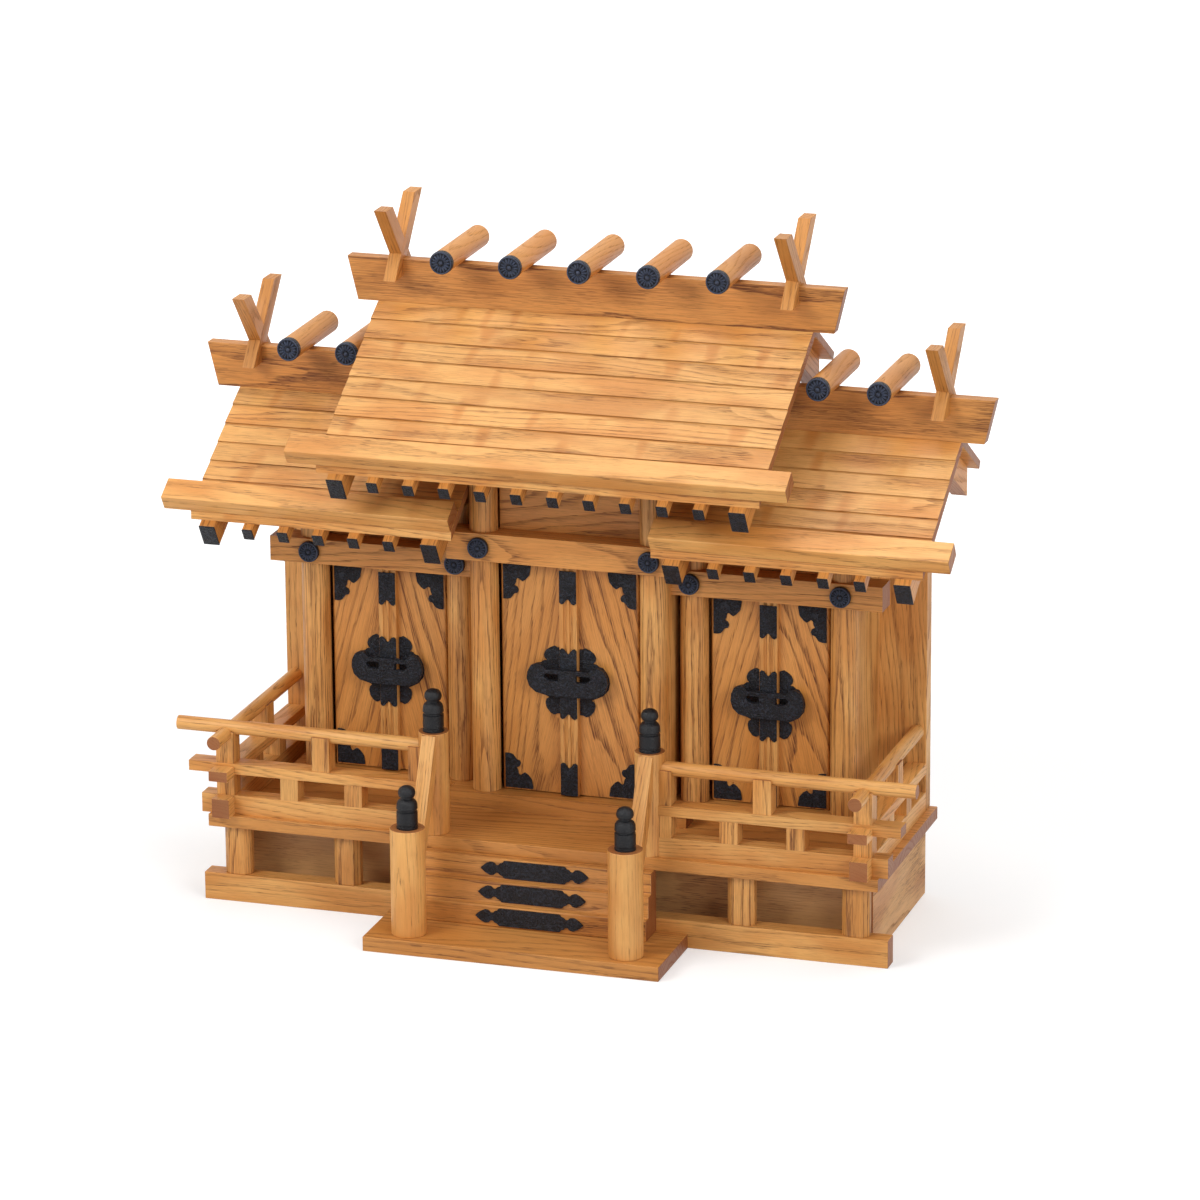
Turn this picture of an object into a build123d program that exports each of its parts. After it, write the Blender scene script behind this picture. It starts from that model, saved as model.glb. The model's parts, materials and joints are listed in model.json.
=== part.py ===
from build123d import *
from math import cos, hypot, radians, sin, sqrt, tan
import os

# Household shrine cabinet in zelkova wood: three small shrines side by side
# under stepped gable roofs, on one raised base with a railed balcony and a stair.
# Millimetres. +X runs to the viewer's right, the front faces -Y, +Z is up.
# While the pieces are made, y = 0 is the front face of the base sill.

# Base
sill_length = 500.0
sill_depth = 14.0
sill_height = 20.0
base_width = 471.0
base_depth = 155.0
base_height = 56.5
base_panel_t = 9.0
inner_panel_y = 32.0
inner_panel_t = 4.0
base_back_t = 8.0
leg_width = 19.5
leg_setback = 1.0
leg_chamfer = 4.0
leg_inner_x = 144.0
leg_end_inset = 9.7

# Balcony floor and the raised threshold that carries the shrines
floor_t = 9.0
floor_side_overhang = 8.5
floor_front_overhang = 5.0
threshold_t = 12.0
threshold_center_margin = 25.9
threshold_side_margin = 17.7
threshold_lip = 2.0

# Stair
platform_width = 214.0
platform_depth = 69.0
platform_t = 10.5
step_count = 3
step_width = 169.0
step_nosing = 6.9
step_tread = 6.3
step_plate_length = 79.0
step_plate_height = 9.0
plate_t = 1.0

# Newel posts and their onion-shaped caps
newel_x = 78.6
lower_newel_r = 12.2
lower_newel_y = -52.0
lower_newel_top = 87.5
upper_newel_r = 10.5
upper_newel_top = 139.5
cap_r = 7.4
cap_height = 30.5
stair_rail_width = 10.0
stair_rail_depth = 10.5
stair_rail_angle = 66.0

# Railings
rail_inset = 12.0
rail_line_y = 5.5
top_rail_r = 5.0
top_rail_z = 128.0
top_rail_drop = 4.0
top_rail_overrun = 36.5
top_rail_end_y = -22.0
middle_rail_z = 95.5
middle_rail_t = 7.5
middle_rail_width = 14.0
middle_rail_drop = 2.0
middle_rail_overrun = 27.0
middle_rail_end_y = -15.5
bottom_rail_width = 13.0
bottom_rail_height = 14.0
bottom_rail_overrun = 18.0
bottom_rail_end_y = -12.0
strut_width = 13.0
newel_strut_width = 6.5

# Shrine bodies
column_r = 10.0
center_column_x = 62.1
center_column_y = 71.0
side_inner_column_x = 85.7
side_column_inset = 37.7
side_column_y = 89.0
wall_t = 8.0
back_board_t = 12.0
center_lintel_z = 248.0
center_lintel_height = 20.0
center_lintel_overrun = 23.9
side_lintel_z = 230.0
side_lintel_height = 18.0
side_lintel_overrun = 29.7
lintel_proud = 12.0
lintel_depth = 19.5
lintel_cap_r = 7.5
lintel_cap_t = 3.0
transom_t = 6.0
transom_setback = 5.0

# Roofs
roof_pitch = 31.8
roof_board_t = 6.0
step_proud = 1.4
ridge_t = 10.0
ridge_setback = 19.0
center_ridge_foot_z = 410.2
center_ridge_height = 31.5
center_ridge_overhang = 22.5
center_ridge_undercut = 7.5
center_roof_half = 158.9
center_board_rows = 7
center_eave_reach = 115.6
side_ridge_foot_z = 339.6
side_ridge_height = 31.5
side_ridge_overhang = 23.9
side_roof_overhang = 13.4
side_board_rows = 5
side_eave_reach = 82.0
roof_rear_reach = 50.0
rear_tail_setback = 7.0
eave_plank_t = 12.0
eave_plank_width = 18.5
center_plank_reach = 123.7
side_plank_reach = 91.2
center_plank_overhang = 20.6
side_plank_overhang = 19.6
center_tip_reach = 141.9
side_tip_reach = 110.4
slab_edge_setback = 4.7
rafter_width = 7.5
rafter_depth = 9.4
rafter_spacing = 26.0
center_rafter_count = 10
side_rafter_count = 5
side_rafter_first_x = 117.3
barge_width = 11.6
barge_depth = 18.2
center_barge_inset = 14.7
side_barge_inner_x = 87.5
side_barge_gap = 7.0
tip_cap_t = 1.0
tip_cap_lip = 0.2

# Ridge billets and crossed finials
billet_r = 8.2
billet_front_reach = 39.0
billet_rear_reach = 42.6
billet_seat = 0.2
billet_cap_r = 8.3
billet_cap_t = 4.2
center_billet_spacing = 50.0
side_billet_inner_x = 171.5
side_billet_outer_x = 214.7
finial_thickness = 9.0
finial_width = 12.0
finial_angle = 39.5
finial_cross_above = 4.6
finial_top_above = 41.8
finial_foot_below = 12.5
center_finial_inset = 14.4
side_finial_inset = 13.0

# Doors: two pivoted leaves to each shrine, with metal fittings
leaf_t = 4.6
leaf_setback = 1.0
leaf_gap = 0.6
leaf_edge_gap = 1.5
leaf_end_gap = 0.8
pin_r = 1.5
pin_length = 5.0
pin_clearance = 0.08
hole_extra_depth = 1.0
batten_width = 13.0
batten_t = 4.0
batten_groove = 1.2
fitting_t = 0.8
corner_plate_width = 20.5
corner_plate_height = 25.0
corner_plate_outside = 0.3
corner_plate_top = 3.4
corner_plate_foot = 1.2
batten_plate_width = 12.4
batten_plate_height = 24.2
batten_plate_top = 3.9
batten_plate_foot = 0.4
plate_notch = 4.0
lock_span = 59.4
lock_height = 52.0
lock_z_above_sill = 83.5
lock_body_t = 3.2
center_lock_half = 29.6
side_lock_half = 26.4
lock_gap = 0.6

# Places that follow from the sizes above
floor_top = base_height + floor_t
floor_front = -floor_front_overhang
floor_half = base_width / 2 + floor_side_overhang
threshold_top = floor_top + threshold_t
back_board_y = base_depth - back_board_t
leg_outer_x = base_width / 2 - leg_end_inset
rail_line_x = floor_half - rail_inset
back_board_half = rail_line_x + bottom_rail_width / 2
side_outer_column_x = rail_line_x - side_column_inset
center_lintel_half = center_column_x + center_lintel_overrun
side_lintel_end_x = side_outer_column_x + side_lintel_overrun
ridge_y = base_depth - ridge_setback
side_barge_outer_x = back_board_half + side_barge_gap + barge_width / 2
side_roof_end_x = side_barge_outer_x + side_roof_overhang
center_barge_x = center_roof_half - center_barge_inset
slope = radians(roof_pitch)
rise = tan(slope)
board_drop = roof_board_t / cos(slope)
center_wall_x = center_column_x + column_r
side_wall_x = side_outer_column_x + column_r
center_lintel_y = center_column_y - lintel_proud
side_lintel_y = side_column_y - lintel_proud
center_apex_z = center_ridge_foot_z + rise * ridge_t / 2
side_apex_z = side_ridge_foot_z + rise * ridge_t / 2


def block(x0, x1, y0, y1, z0, z1):
    size = Box(x1 - x0, y1 - y0, z1 - z0)
    return Pos((x0 + x1) / 2, (y0 + y1) / 2, (z0 + z1) / 2) * size


def post(x, y, z0, z1, r):
    return Pos(x, y, (z0 + z1) / 2) * Cylinder(r, z1 - z0)


def rod_x(x0, x1, y, z, r):
    return Pos((x0 + x1) / 2, y, z) * Rot(0, 90, 0) * Cylinder(r, x1 - x0)


def rod_y(x, y0, y1, z, r):
    return Pos(x, (y0 + y1) / 2, z) * Rot(90, 0, 0) * Cylinder(r, y1 - y0)


def prism_x(points, x0, x1):
    """Outline given as (y, z) points, extruded from x0 to x1."""
    face = Plane.YZ.offset(x0) * make_face(Polyline(*points, close=True))
    return extrude(face, amount=x1 - x0)


def prism_y(points, y0, y1):
    """Outline given as (x, z) points, extruded from y0 to y1."""
    plane = Plane(origin=(0, y1, 0), x_dir=(1, 0, 0), z_dir=(0, -1, 0))
    return extrude(plane * make_face(Polyline(*points, close=True)), amount=y1 - y0)


def prism_z(points, z0, z1):
    """Outline given as (x, y) points, extruded from z0 to z1."""
    face = Plane.XY.offset(z0) * make_face(Polyline(*points, close=True))
    return extrude(face, amount=z1 - z0)


def mirrored(shapes):
    """The shapes and their mirror images across the middle plane."""
    return list(shapes) + [mirror(s, about=Plane.YZ) for s in shapes]


# Base

def make_base():
    half = base_width / 2
    sill = block(-sill_length / 2, sill_length / 2, 0, sill_depth, 0, sill_height)
    side = block(half - base_panel_t, half, sill_depth, base_depth, 0, base_height)
    inner_half = half - base_panel_t
    inner = block(-inner_half, inner_half, inner_panel_y, inner_panel_y + inner_panel_t, 0, base_height)
    back = block(-inner_half, inner_half, base_depth - base_back_t, base_depth, 0, base_height)
    legs = []
    for x in (leg_inner_x, leg_outer_x):
        leg = block(x - leg_width / 2, x + leg_width / 2, leg_setback, sill_depth, sill_height, base_height)
        legs.append(chamfer(leg.edges().filter_by(Axis.Z), leg_chamfer))
    return {
        "base_sill": [sill],
        "base_sides": mirrored([side]),
        "base_cross_boards": [inner, back],
        "front_legs": mirrored(legs),
    }


# Floor and threshold

def make_floor():
    floor = block(-floor_half, floor_half, floor_front, base_depth, base_height, floor_top)
    front = center_column_y - column_r - threshold_lip
    side_front = side_column_y - column_r - threshold_lip
    middle = center_column_x + threshold_center_margin
    end = side_outer_column_x + threshold_side_margin
    outline = [(-end, side_front), (-middle, side_front), (-middle, front), (middle, front),
               (middle, side_front), (end, side_front), (end, back_board_y), (-end, back_board_y)]
    threshold = prism_z(outline, floor_top, threshold_top)
    for shrine in shrines:
        for x in shrine["pivots"]:
            threshold -= post(x, shrine["pivot_y"], threshold_top - pin_length - hole_extra_depth,
                              threshold_top, pin_r + pin_clearance)
    return {"balcony_floor": [floor], "shrine_threshold": [threshold]}


# Stair with its platform, steps, plates, newels, caps and rails

def newel_cap(x, y, z):
    """Onion cap: a sleeve with a raised ring, a shoulder, a neck and a pointed ball."""
    profile = [(0, 0), (1, 0), (1, 0.16), (0.93, 0.18), (0.93, 0.44), (1, 0.48), (0.86, 0.58), (0.58, 0.64),
               (0.78, 0.71), (0.84, 0.78), (0.72, 0.86), (0.4, 0.94), (0, 1)]
    outline = Polyline(*[(cap_r * r, cap_height * h) for r, h in profile], close=True)
    cap = revolve(Plane.XZ * make_face(outline), Axis.Z)
    return Pos(x, y, z) * cap


def stair_rail():
    """Steep bar between the two newels, coped round both."""
    top_y = rail_line_y - upper_newel_r
    low_y = lower_newel_y + lower_newel_r
    fall = tan(radians(stair_rail_angle))
    height = stair_rail_depth / cos(radians(stair_rail_angle))
    back_y = rail_line_y
    front_y = lower_newel_y
    top = upper_newel_top - 1.0
    outline = [
        (back_y, top + fall * (back_y - top_y)), (front_y, top + fall * (front_y - top_y)),
        (front_y, top + fall * (front_y - top_y) - height), (back_y, top + fall * (back_y - top_y) - height),
    ]
    bar = prism_x(outline, newel_x - stair_rail_width / 2, newel_x + stair_rail_width / 2)
    span = block(newel_x - stair_rail_width, newel_x + stair_rail_width, low_y - lower_newel_r,
                 back_y, 0, top)
    bar = bar & span
    bar -= post(newel_x, rail_line_y, 0, upper_newel_top, upper_newel_r)
    bar -= post(newel_x, lower_newel_y, 0, upper_newel_top, lower_newel_r)
    return bar


def step_plate(y, z):
    """Long ornamental plate with necked, pointed ends."""
    half = step_plate_length / 2
    h = step_plate_height / 2
    neck = half - 1.6 * step_plate_height
    right = [(neck, h), (neck + 0.35 * h, 0.45 * h), (neck + 1.2 * h, 0.9 * h), (half - 0.9 * h, 0.75 * h),
             (half, 0), (half - 0.9 * h, -0.75 * h), (neck + 1.2 * h, -0.9 * h), (neck + 0.35 * h, -0.45 * h),
             (neck, -h)]
    left = [(-x, -dz) for x, dz in right]
    return prism_y([(x, z + dz) for x, dz in right + left], y - plate_t, y)


def make_stair():
    platform = block(-platform_width / 2, platform_width / 2, -platform_depth, 0, 0, platform_t)
    rise_each = (base_height - platform_t) / step_count
    steps = []
    plates = []
    for i in range(step_count):
        riser_y = floor_front - step_nosing - step_tread * (step_count - 1 - i)
        z0 = platform_t + rise_each * i
        steps.append(block(-step_width / 2, step_width / 2, riser_y, 0, z0, z0 + rise_each))
        plates.append(step_plate(riser_y, z0 + rise_each / 2))
    lower = post(newel_x, lower_newel_y, platform_t, lower_newel_top, lower_newel_r)
    upper = post(newel_x, rail_line_y, floor_top, upper_newel_top, upper_newel_r)
    return {
        "stair_platform": [platform],
        "stair_steps": [steps[0] + steps[1] + steps[2]],
        "step_plates": plates,
        "newel_posts": mirrored([lower, upper]),
        "newel_caps": mirrored([newel_cap(newel_x, lower_newel_y, lower_newel_top),
                                newel_cap(newel_x, rail_line_y, upper_newel_top)]),
        "stair_rails": mirrored([stair_rail()]),
    }


# Railings: three rails each way, half-lapped where they cross at the corners

def make_railings():
    newel_edge = newel_x
    newel = post(newel_x, rail_line_y, 0, upper_newel_top, upper_newel_r)
    side_top_z = top_rail_z - top_rail_drop
    side_middle_z = middle_rail_z - middle_rail_drop
    lap_top = (top_rail_z + side_top_z) / 2
    lap_middle = (middle_rail_z + side_middle_z + middle_rail_t) / 2
    lap_bottom = floor_top + bottom_rail_height / 2
    mid_half = middle_rail_width / 2
    low_half = bottom_rail_width / 2
    x, y = rail_line_x, rail_line_y
    top_end = x + top_rail_overrun
    middle_end = x + middle_rail_overrun
    bottom_end = x + bottom_rail_overrun

    front_top = rod_x(newel_edge, top_end, y, top_rail_z, top_rail_r)
    side_top = rod_y(x, top_rail_end_y, back_board_y, side_top_z, top_rail_r)
    notch = block(x - top_rail_r, x + top_rail_r, y - 2 * top_rail_r, y + 2 * top_rail_r, 0, lap_top)
    front_top -= notch
    notch = block(x - 2 * top_rail_r, x + 2 * top_rail_r, y - top_rail_r, y + top_rail_r,
                  lap_top, upper_newel_top)
    side_top -= notch

    front_middle = block(newel_edge, middle_end, y - mid_half, y + mid_half,
                         middle_rail_z, middle_rail_z + middle_rail_t)
    side_middle = block(x - mid_half, x + mid_half, middle_rail_end_y, back_board_y,
                        side_middle_z, side_middle_z + middle_rail_t)
    front_middle -= block(x - mid_half, x + mid_half, y - mid_half, y + mid_half, 0, lap_middle)
    side_middle -= block(x - mid_half, x + mid_half, y - mid_half, y + mid_half, lap_middle, upper_newel_top)

    front_bottom = block(newel_edge, bottom_end, y - low_half, y + low_half,
                         floor_top, floor_top + bottom_rail_height)
    side_bottom = block(x - low_half, x + low_half, bottom_rail_end_y, back_board_y,
                        floor_top, floor_top + bottom_rail_height)
    front_bottom -= block(x - low_half, x + low_half, y - low_half, y + low_half, 0, lap_bottom)
    side_bottom -= block(x - low_half, x + low_half, y - low_half, y + low_half, lap_bottom, upper_newel_top)

    lower_z = floor_top + bottom_rail_height
    upper_z = middle_rail_z + middle_rail_t
    side_upper_z = side_middle_z + middle_rail_t
    half = strut_width / 2
    bay = x - newel_x - upper_newel_r
    side_bay = back_board_y - y
    front_rod = rod_x(newel_edge, top_end, y, top_rail_z, top_rail_r)
    side_rod = rod_y(x, top_rail_end_y, back_board_y, side_top_z, top_rail_r)
    struts = [block(x - half, x + half, y - half, y + half, lower_z, side_middle_z),
              block(x - half, x + half, y - half, y + half, upper_z, lap_top) - side_rod - front_rod]
    for share in (1 / 3, 2 / 3):
        sx = x - bay * share
        sy = y + side_bay * share
        struts.append(block(sx - half, sx + half, y - half, y + half, lower_z, middle_rail_z))
        struts.append(block(x - half, x + half, sy - half, sy + half, lower_z, side_middle_z))
    sx = x - bay / 2
    sy = y + side_bay / 2
    struts.append(block(sx - half, sx + half, y - half, y + half, upper_z, top_rail_z) - front_rod)
    struts.append(block(x - half, x + half, sy - half, sy + half, side_upper_z, side_top_z) - side_rod)
    end = newel_x + upper_newel_r + newel_strut_width
    struts.append(block(newel_x, end, y - half, y + half, lower_z, middle_rail_z) - newel)
    struts.append(block(newel_x, end, y - half, y + half, upper_z, top_rail_z) - newel - front_rod)

    kept = []
    for piece in struts:
        kept += [s for s in piece.solids() if s.volume > 20]
    front = [front_top - newel, front_middle - newel, front_bottom - newel]
    return {
        "front_rails": mirrored(front),
        "side_rails": mirrored([side_top, side_middle, side_bottom]),
        "railing_struts": mirrored(kept),
    }


# Roof lines: the top surface of the boards, in front of and behind the ridge

def front_line(roof, y):
    """Height of the board surface at y on the front slope."""
    return roof["apex_z"] - rise * (roof["ridge_y"] - y)


def rear_line(roof, y):
    return roof["apex_z"] - rise * (y - roof["ridge_y"])


def under_roof(roof, x0, x1, drop):
    """A long block that fills everything below both slopes, less a drop."""
    far = sill_length
    y0 = roof["ridge_y"] - far
    y1 = roof["ridge_y"] + far
    outline = [(y0, front_line(roof, y0) - drop), (roof["ridge_y"], roof["apex_z"] - drop),
               (y1, rear_line(roof, y1) - drop), (y1, -far), (y0, -far)]
    return prism_x(outline, x0, x1)


center_roof = {"apex_z": center_apex_z, "ridge_y": ridge_y, "rows": center_board_rows,
               "eave_y": ridge_y - center_eave_reach, "plank_y": ridge_y - center_plank_reach,
               "tip_y": ridge_y - center_tip_reach}
side_roof = {"apex_z": side_apex_z, "ridge_y": ridge_y, "rows": side_board_rows,
             "eave_y": ridge_y - side_eave_reach, "plank_y": ridge_y - side_plank_reach,
             "tip_y": ridge_y - side_tip_reach}

# One entry a shrine: where its columns and door pivots stand
shrines = []
for name, x0, x1, y, top in (
    ("left", -side_outer_column_x, -side_inner_column_x, side_column_y, side_lintel_z),
    ("center", -center_column_x, center_column_x, center_column_y, center_lintel_z),
    ("right", side_inner_column_x, side_outer_column_x, side_column_y, side_lintel_z),
):
    inset = column_r + leaf_edge_gap + leaf_t / 2
    shrines.append({"name": name, "x0": x0, "x1": x1, "column_y": y, "top": top,
                    "pivots": (x0 + inset, x1 - inset), "pivot_y": y + leaf_setback + leaf_t / 2})


# Walls, columns, lintels

def make_body():
    roof_drop = board_drop + rafter_depth / cos(slope)
    center_posts = [post(x, center_column_y, threshold_top, center_lintel_z, column_r)
                    for x in (center_column_x,)]
    side_posts = [post(x, side_column_y, threshold_top, side_lintel_z, column_r)
                  for x in (side_inner_column_x, side_outer_column_x)]

    center_under = under_roof(center_roof, -sill_length, sill_length, roof_drop)
    side_under = under_roof(side_roof, -sill_length, sill_length, roof_drop)
    barge_drop = board_drop + barge_depth / cos(slope)
    side_barge_under = under_roof(side_roof, -sill_length, sill_length, barge_drop)
    tall = center_apex_z

    upper = [post(center_column_x, center_column_y, center_lintel_z + center_lintel_height, tall, column_r)
             & center_under]
    inner = post(side_inner_column_x, side_column_y, side_lintel_z + side_lintel_height, tall, column_r)
    upper.append(inner & side_barge_under)
    outer = post(side_outer_column_x, side_column_y, side_lintel_z + side_lintel_height, tall, column_r)
    upper.append(outer & side_under)

    wall = block(center_wall_x - wall_t, center_wall_x, center_column_y, back_board_y, threshold_top, tall)
    wall = (wall & center_under) - post(center_column_x, center_column_y, 0, tall, column_r)
    wall -= block(-sill_length, sill_length, center_lintel_y, center_lintel_y + lintel_depth,
                  center_lintel_z, center_lintel_z + center_lintel_height)
    outer_wall = block(side_wall_x - wall_t, side_wall_x, side_column_y, back_board_y, threshold_top, tall)
    outer_wall = (outer_wall & side_under) - post(side_outer_column_x, side_column_y, 0, tall, column_r)
    outer_wall -= block(-sill_length, sill_length, side_lintel_y, side_lintel_y + lintel_depth,
                        side_lintel_z, side_lintel_z + side_lintel_height)

    boards_only = board_drop
    half = back_board_half
    back_low = block(-half, half, back_board_y, base_depth, floor_top, tall)
    back_low &= under_roof(side_roof, -half, half, boards_only)
    back_high = block(-center_wall_x, center_wall_x, back_board_y, base_depth, side_lintel_z, tall)
    back_high &= under_roof(center_roof, -half, half, boards_only)
    back = back_low + back_high

    center_lintel = block(-center_lintel_half, center_lintel_half, center_lintel_y,
                          center_lintel_y + lintel_depth, center_lintel_z,
                          center_lintel_z + center_lintel_height)
    side_lintel = block(center_wall_x, side_lintel_end_x, side_lintel_y, side_lintel_y + lintel_depth,
                        side_lintel_z, side_lintel_z + side_lintel_height)
    for shrine in shrines:
        for x in shrine["pivots"]:
            hole = post(x, shrine["pivot_y"], shrine["top"], shrine["top"] + pin_length + hole_extra_depth,
                        pin_r + pin_clearance)
            if shrine["name"] == "center":
                center_lintel -= hole
            if shrine["name"] == "right":
                side_lintel -= hole

    caps = [rod_y(center_column_x, center_lintel_y - lintel_cap_t, center_lintel_y,
                  center_lintel_z + center_lintel_height / 2, lintel_cap_r)]
    for x in (side_inner_column_x, side_outer_column_x):
        caps.append(rod_y(x, side_lintel_y - lintel_cap_t, side_lintel_y,
                          side_lintel_z + side_lintel_height / 2, lintel_cap_r))

    transom_half = center_column_x - column_r
    transom_y = center_column_y + transom_setback
    transom = block(-transom_half, transom_half, transom_y, transom_y + transom_t,
                    center_lintel_z + center_lintel_height, tall) & center_under
    side_transom_y = side_column_y + transom_setback
    side_transom = block(side_inner_column_x + column_r, side_outer_column_x - column_r,
                         side_transom_y, side_transom_y + transom_t,
                         side_lintel_z + side_lintel_height, tall) & side_under
    return {
        "center_columns": mirrored(center_posts),
        "side_columns": mirrored(side_posts),
        "upper_posts": mirrored(upper),
        "shrine_walls": mirrored([wall, outer_wall]),
        "back_board": [back],
        "center_lintel": [center_lintel],
        "side_lintels": mirrored([side_lintel]),
        "lintel_caps": mirrored(caps),
        "transom_panels": [transom] + mirrored([side_transom]),
    }


# Roofs

def stepped_boards(roof, x0, x1):
    """Front slope in overlapping boards, each with its lower edge proud of the next.
    The lowest one runs on under the eave plank."""
    top_y = roof["ridge_y"]
    length = top_y - roof["eave_y"]
    foot = ridge_t / 2
    row = (length - foot) / roof["rows"]
    points = [(top_y, roof["apex_z"] - board_drop), (top_y, roof["apex_z"])]
    y = top_y - foot
    points.append((y, front_line(roof, y)))
    for i in range(roof["rows"]):
        y -= row
        points += [(y, front_line(roof, y) + step_proud), (y, front_line(roof, y))]
    y_low = roof["tip_y"] + slab_edge_setback
    points += [(y_low, front_line(roof, y_low)), (y_low, front_line(roof, y_low) - board_drop)]
    return prism_x(points, x0, x1)


def rear_boards(roof, x0, x1):
    y1 = roof["ridge_y"] + roof_rear_reach
    z1 = rear_line(roof, y1)
    points = [(roof["ridge_y"], roof["apex_z"] - board_drop), (roof["ridge_y"], roof["apex_z"]),
              (y1, z1), (y1 - roof_board_t * sin(slope), z1 - roof_board_t * cos(slope))]
    return prism_x(points, x0, x1)


def eave_plank(roof, x0, x1):
    """Thick plank laid on the lowest board, with square edges and ends."""
    back_y = roof["plank_y"]
    back_z = front_line(roof, back_y)
    across = (-eave_plank_width * cos(slope), -eave_plank_width * sin(slope))
    up = (-eave_plank_t * sin(slope), eave_plank_t * cos(slope))
    outline = [(back_y, back_z), (back_y + across[0], back_z + across[1]),
               (back_y + across[0] + up[0], back_z + across[1] + up[1]), (back_y + up[0], back_z + up[1])]
    return prism_x(outline, x0, x1)


def sloped_bar(roof, x, width, depth, y_back):
    """Bar under the front slope with its tip cut square to the slope."""
    tip_y = roof["tip_y"]
    top_tip = (tip_y, front_line(roof, tip_y) - board_drop)
    low_tip = (tip_y + depth * sin(slope), top_tip[1] - depth * cos(slope))
    drop = depth / cos(slope)
    outline = [top_tip, (y_back, front_line(roof, y_back) - board_drop),
               (y_back, front_line(roof, y_back) - board_drop - drop), low_tip]
    return prism_x(outline, x - width / 2, x + width / 2)


def barge_board(roof, x):
    """Gable board that runs down both slopes, square-cut in front and plumb-cut behind."""
    tip_y = roof["tip_y"]
    rear_y = roof["ridge_y"] + roof_rear_reach - rear_tail_setback
    top_tip = (tip_y, front_line(roof, tip_y) - board_drop)
    low_tip = (tip_y + barge_depth * sin(slope), top_tip[1] - barge_depth * cos(slope))
    rear_top = (rear_y, rear_line(roof, rear_y) - board_drop)
    rear_low = (rear_y, rear_top[1] - barge_depth / cos(slope))
    apex = (roof["ridge_y"], roof["apex_z"] - board_drop)
    apex_low = (roof["ridge_y"], apex[1] - barge_depth / cos(slope))
    outline = [top_tip, apex, rear_top, rear_low, apex_low, low_tip]
    return prism_x(outline, x - barge_width / 2, x + barge_width / 2)


def tip_cap(roof, x, width, depth):
    """Thin metal plate over the square-cut tip of a rafter or gable board."""
    tip_y = roof["tip_y"]
    tip_z = front_line(roof, tip_y) - board_drop
    out = (-cos(slope), -sin(slope))
    down = (sin(slope), -cos(slope))
    start = (tip_y - down[0] * tip_cap_lip, tip_z - down[1] * tip_cap_lip)
    run = depth + 2 * tip_cap_lip
    end = (start[0] + down[0] * run, start[1] + down[1] * run)
    outline = [start, end, (end[0] + out[0] * tip_cap_t, end[1] + out[1] * tip_cap_t),
               (start[0] + out[0] * tip_cap_t, start[1] + out[1] * tip_cap_t)]
    half = width / 2 + tip_cap_lip
    return prism_x(outline, x - half, x + half)


def ridge_board(roof, x0, x1, cut0, cut1, foot_z, height, roof_x0, roof_x1):
    """Board on edge along the ridge, its foot cut to sit over the two slopes."""
    y0 = roof["ridge_y"] - ridge_t / 2
    y1 = roof["ridge_y"] + ridge_t / 2
    outline = [(x0 + cut0, foot_z), (x1 - cut1, foot_z), (x1, foot_z + height), (x0, foot_z + height)]
    board = prism_y(outline, y0, y1)
    return board - under_roof(roof, roof_x0, roof_x1, 0)


def make_roofs():
    inner_x = center_wall_x
    nodes = {
        "roof_front_center": [stepped_boards(center_roof, -center_roof_half, center_roof_half)],
        "roof_front_sides": mirrored([stepped_boards(side_roof, inner_x, side_roof_end_x)]),
        "roof_rear_center": [rear_boards(center_roof, -center_roof_half, center_roof_half)],
        "roof_rear_sides": mirrored([rear_boards(side_roof, inner_x, side_roof_end_x)]),
    }
    center_end = center_roof_half + center_plank_overhang
    nodes["eave_plank_center"] = [eave_plank(center_roof, -center_end, center_end)]
    side_end = side_roof_end_x + side_plank_overhang
    nodes["eave_planks_side"] = mirrored([eave_plank(side_roof, inner_x, side_end)])

    rafters = []
    caps = []
    for i in range(center_rafter_count // 2):
        x = rafter_spacing * (i + 0.5)
        bar = sloped_bar(center_roof, x, rafter_width, rafter_depth, ridge_y)
        rafters.append(bar)
        caps.append(tip_cap(center_roof, x, rafter_width, rafter_depth))
    nodes["center_rafters"] = mirrored(rafters)
    rafters = []
    for i in range(side_rafter_count):
        x = side_rafter_first_x + rafter_spacing * i
        rafters.append(sloped_bar(side_roof, x, rafter_width, rafter_depth, ridge_y))
        caps.append(tip_cap(side_roof, x, rafter_width, rafter_depth))
    nodes["side_rafters"] = mirrored(rafters)

    boards = [barge_board(center_roof, center_barge_x), barge_board(side_roof, side_barge_outer_x)]
    inner = sloped_bar(side_roof, side_barge_inner_x, barge_width, barge_depth, ridge_y)
    inner -= block(-center_lintel_half, center_lintel_half, center_lintel_y, center_lintel_y + lintel_depth,
                   center_lintel_z, center_lintel_z + center_lintel_height)
    boards.append(inner)
    nodes["barge_boards"] = mirrored(boards)
    caps.append(tip_cap(center_roof, center_barge_x, barge_width, barge_depth))
    caps.append(tip_cap(side_roof, side_barge_outer_x, barge_width, barge_depth))
    caps.append(tip_cap(side_roof, side_barge_inner_x, barge_width, barge_depth))
    nodes["rafter_caps"] = mirrored(caps)

    center_end = center_roof_half + center_ridge_overhang
    side_end = side_roof_end_x + side_ridge_overhang
    ridge = ridge_board(center_roof, -center_end, center_end, center_ridge_undercut,
                        center_ridge_undercut, center_ridge_foot_z, center_ridge_height,
                        -center_roof_half, center_roof_half)
    nodes["ridge_board_center"] = [ridge]
    ridge = ridge_board(side_roof, inner_x, side_end, 0, center_ridge_undercut, side_ridge_foot_z,
                        side_ridge_height, inner_x, side_roof_end_x)
    nodes["ridge_boards_side"] = mirrored([ridge])
    return nodes


# Billets and crossed finials on the ridges

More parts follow.
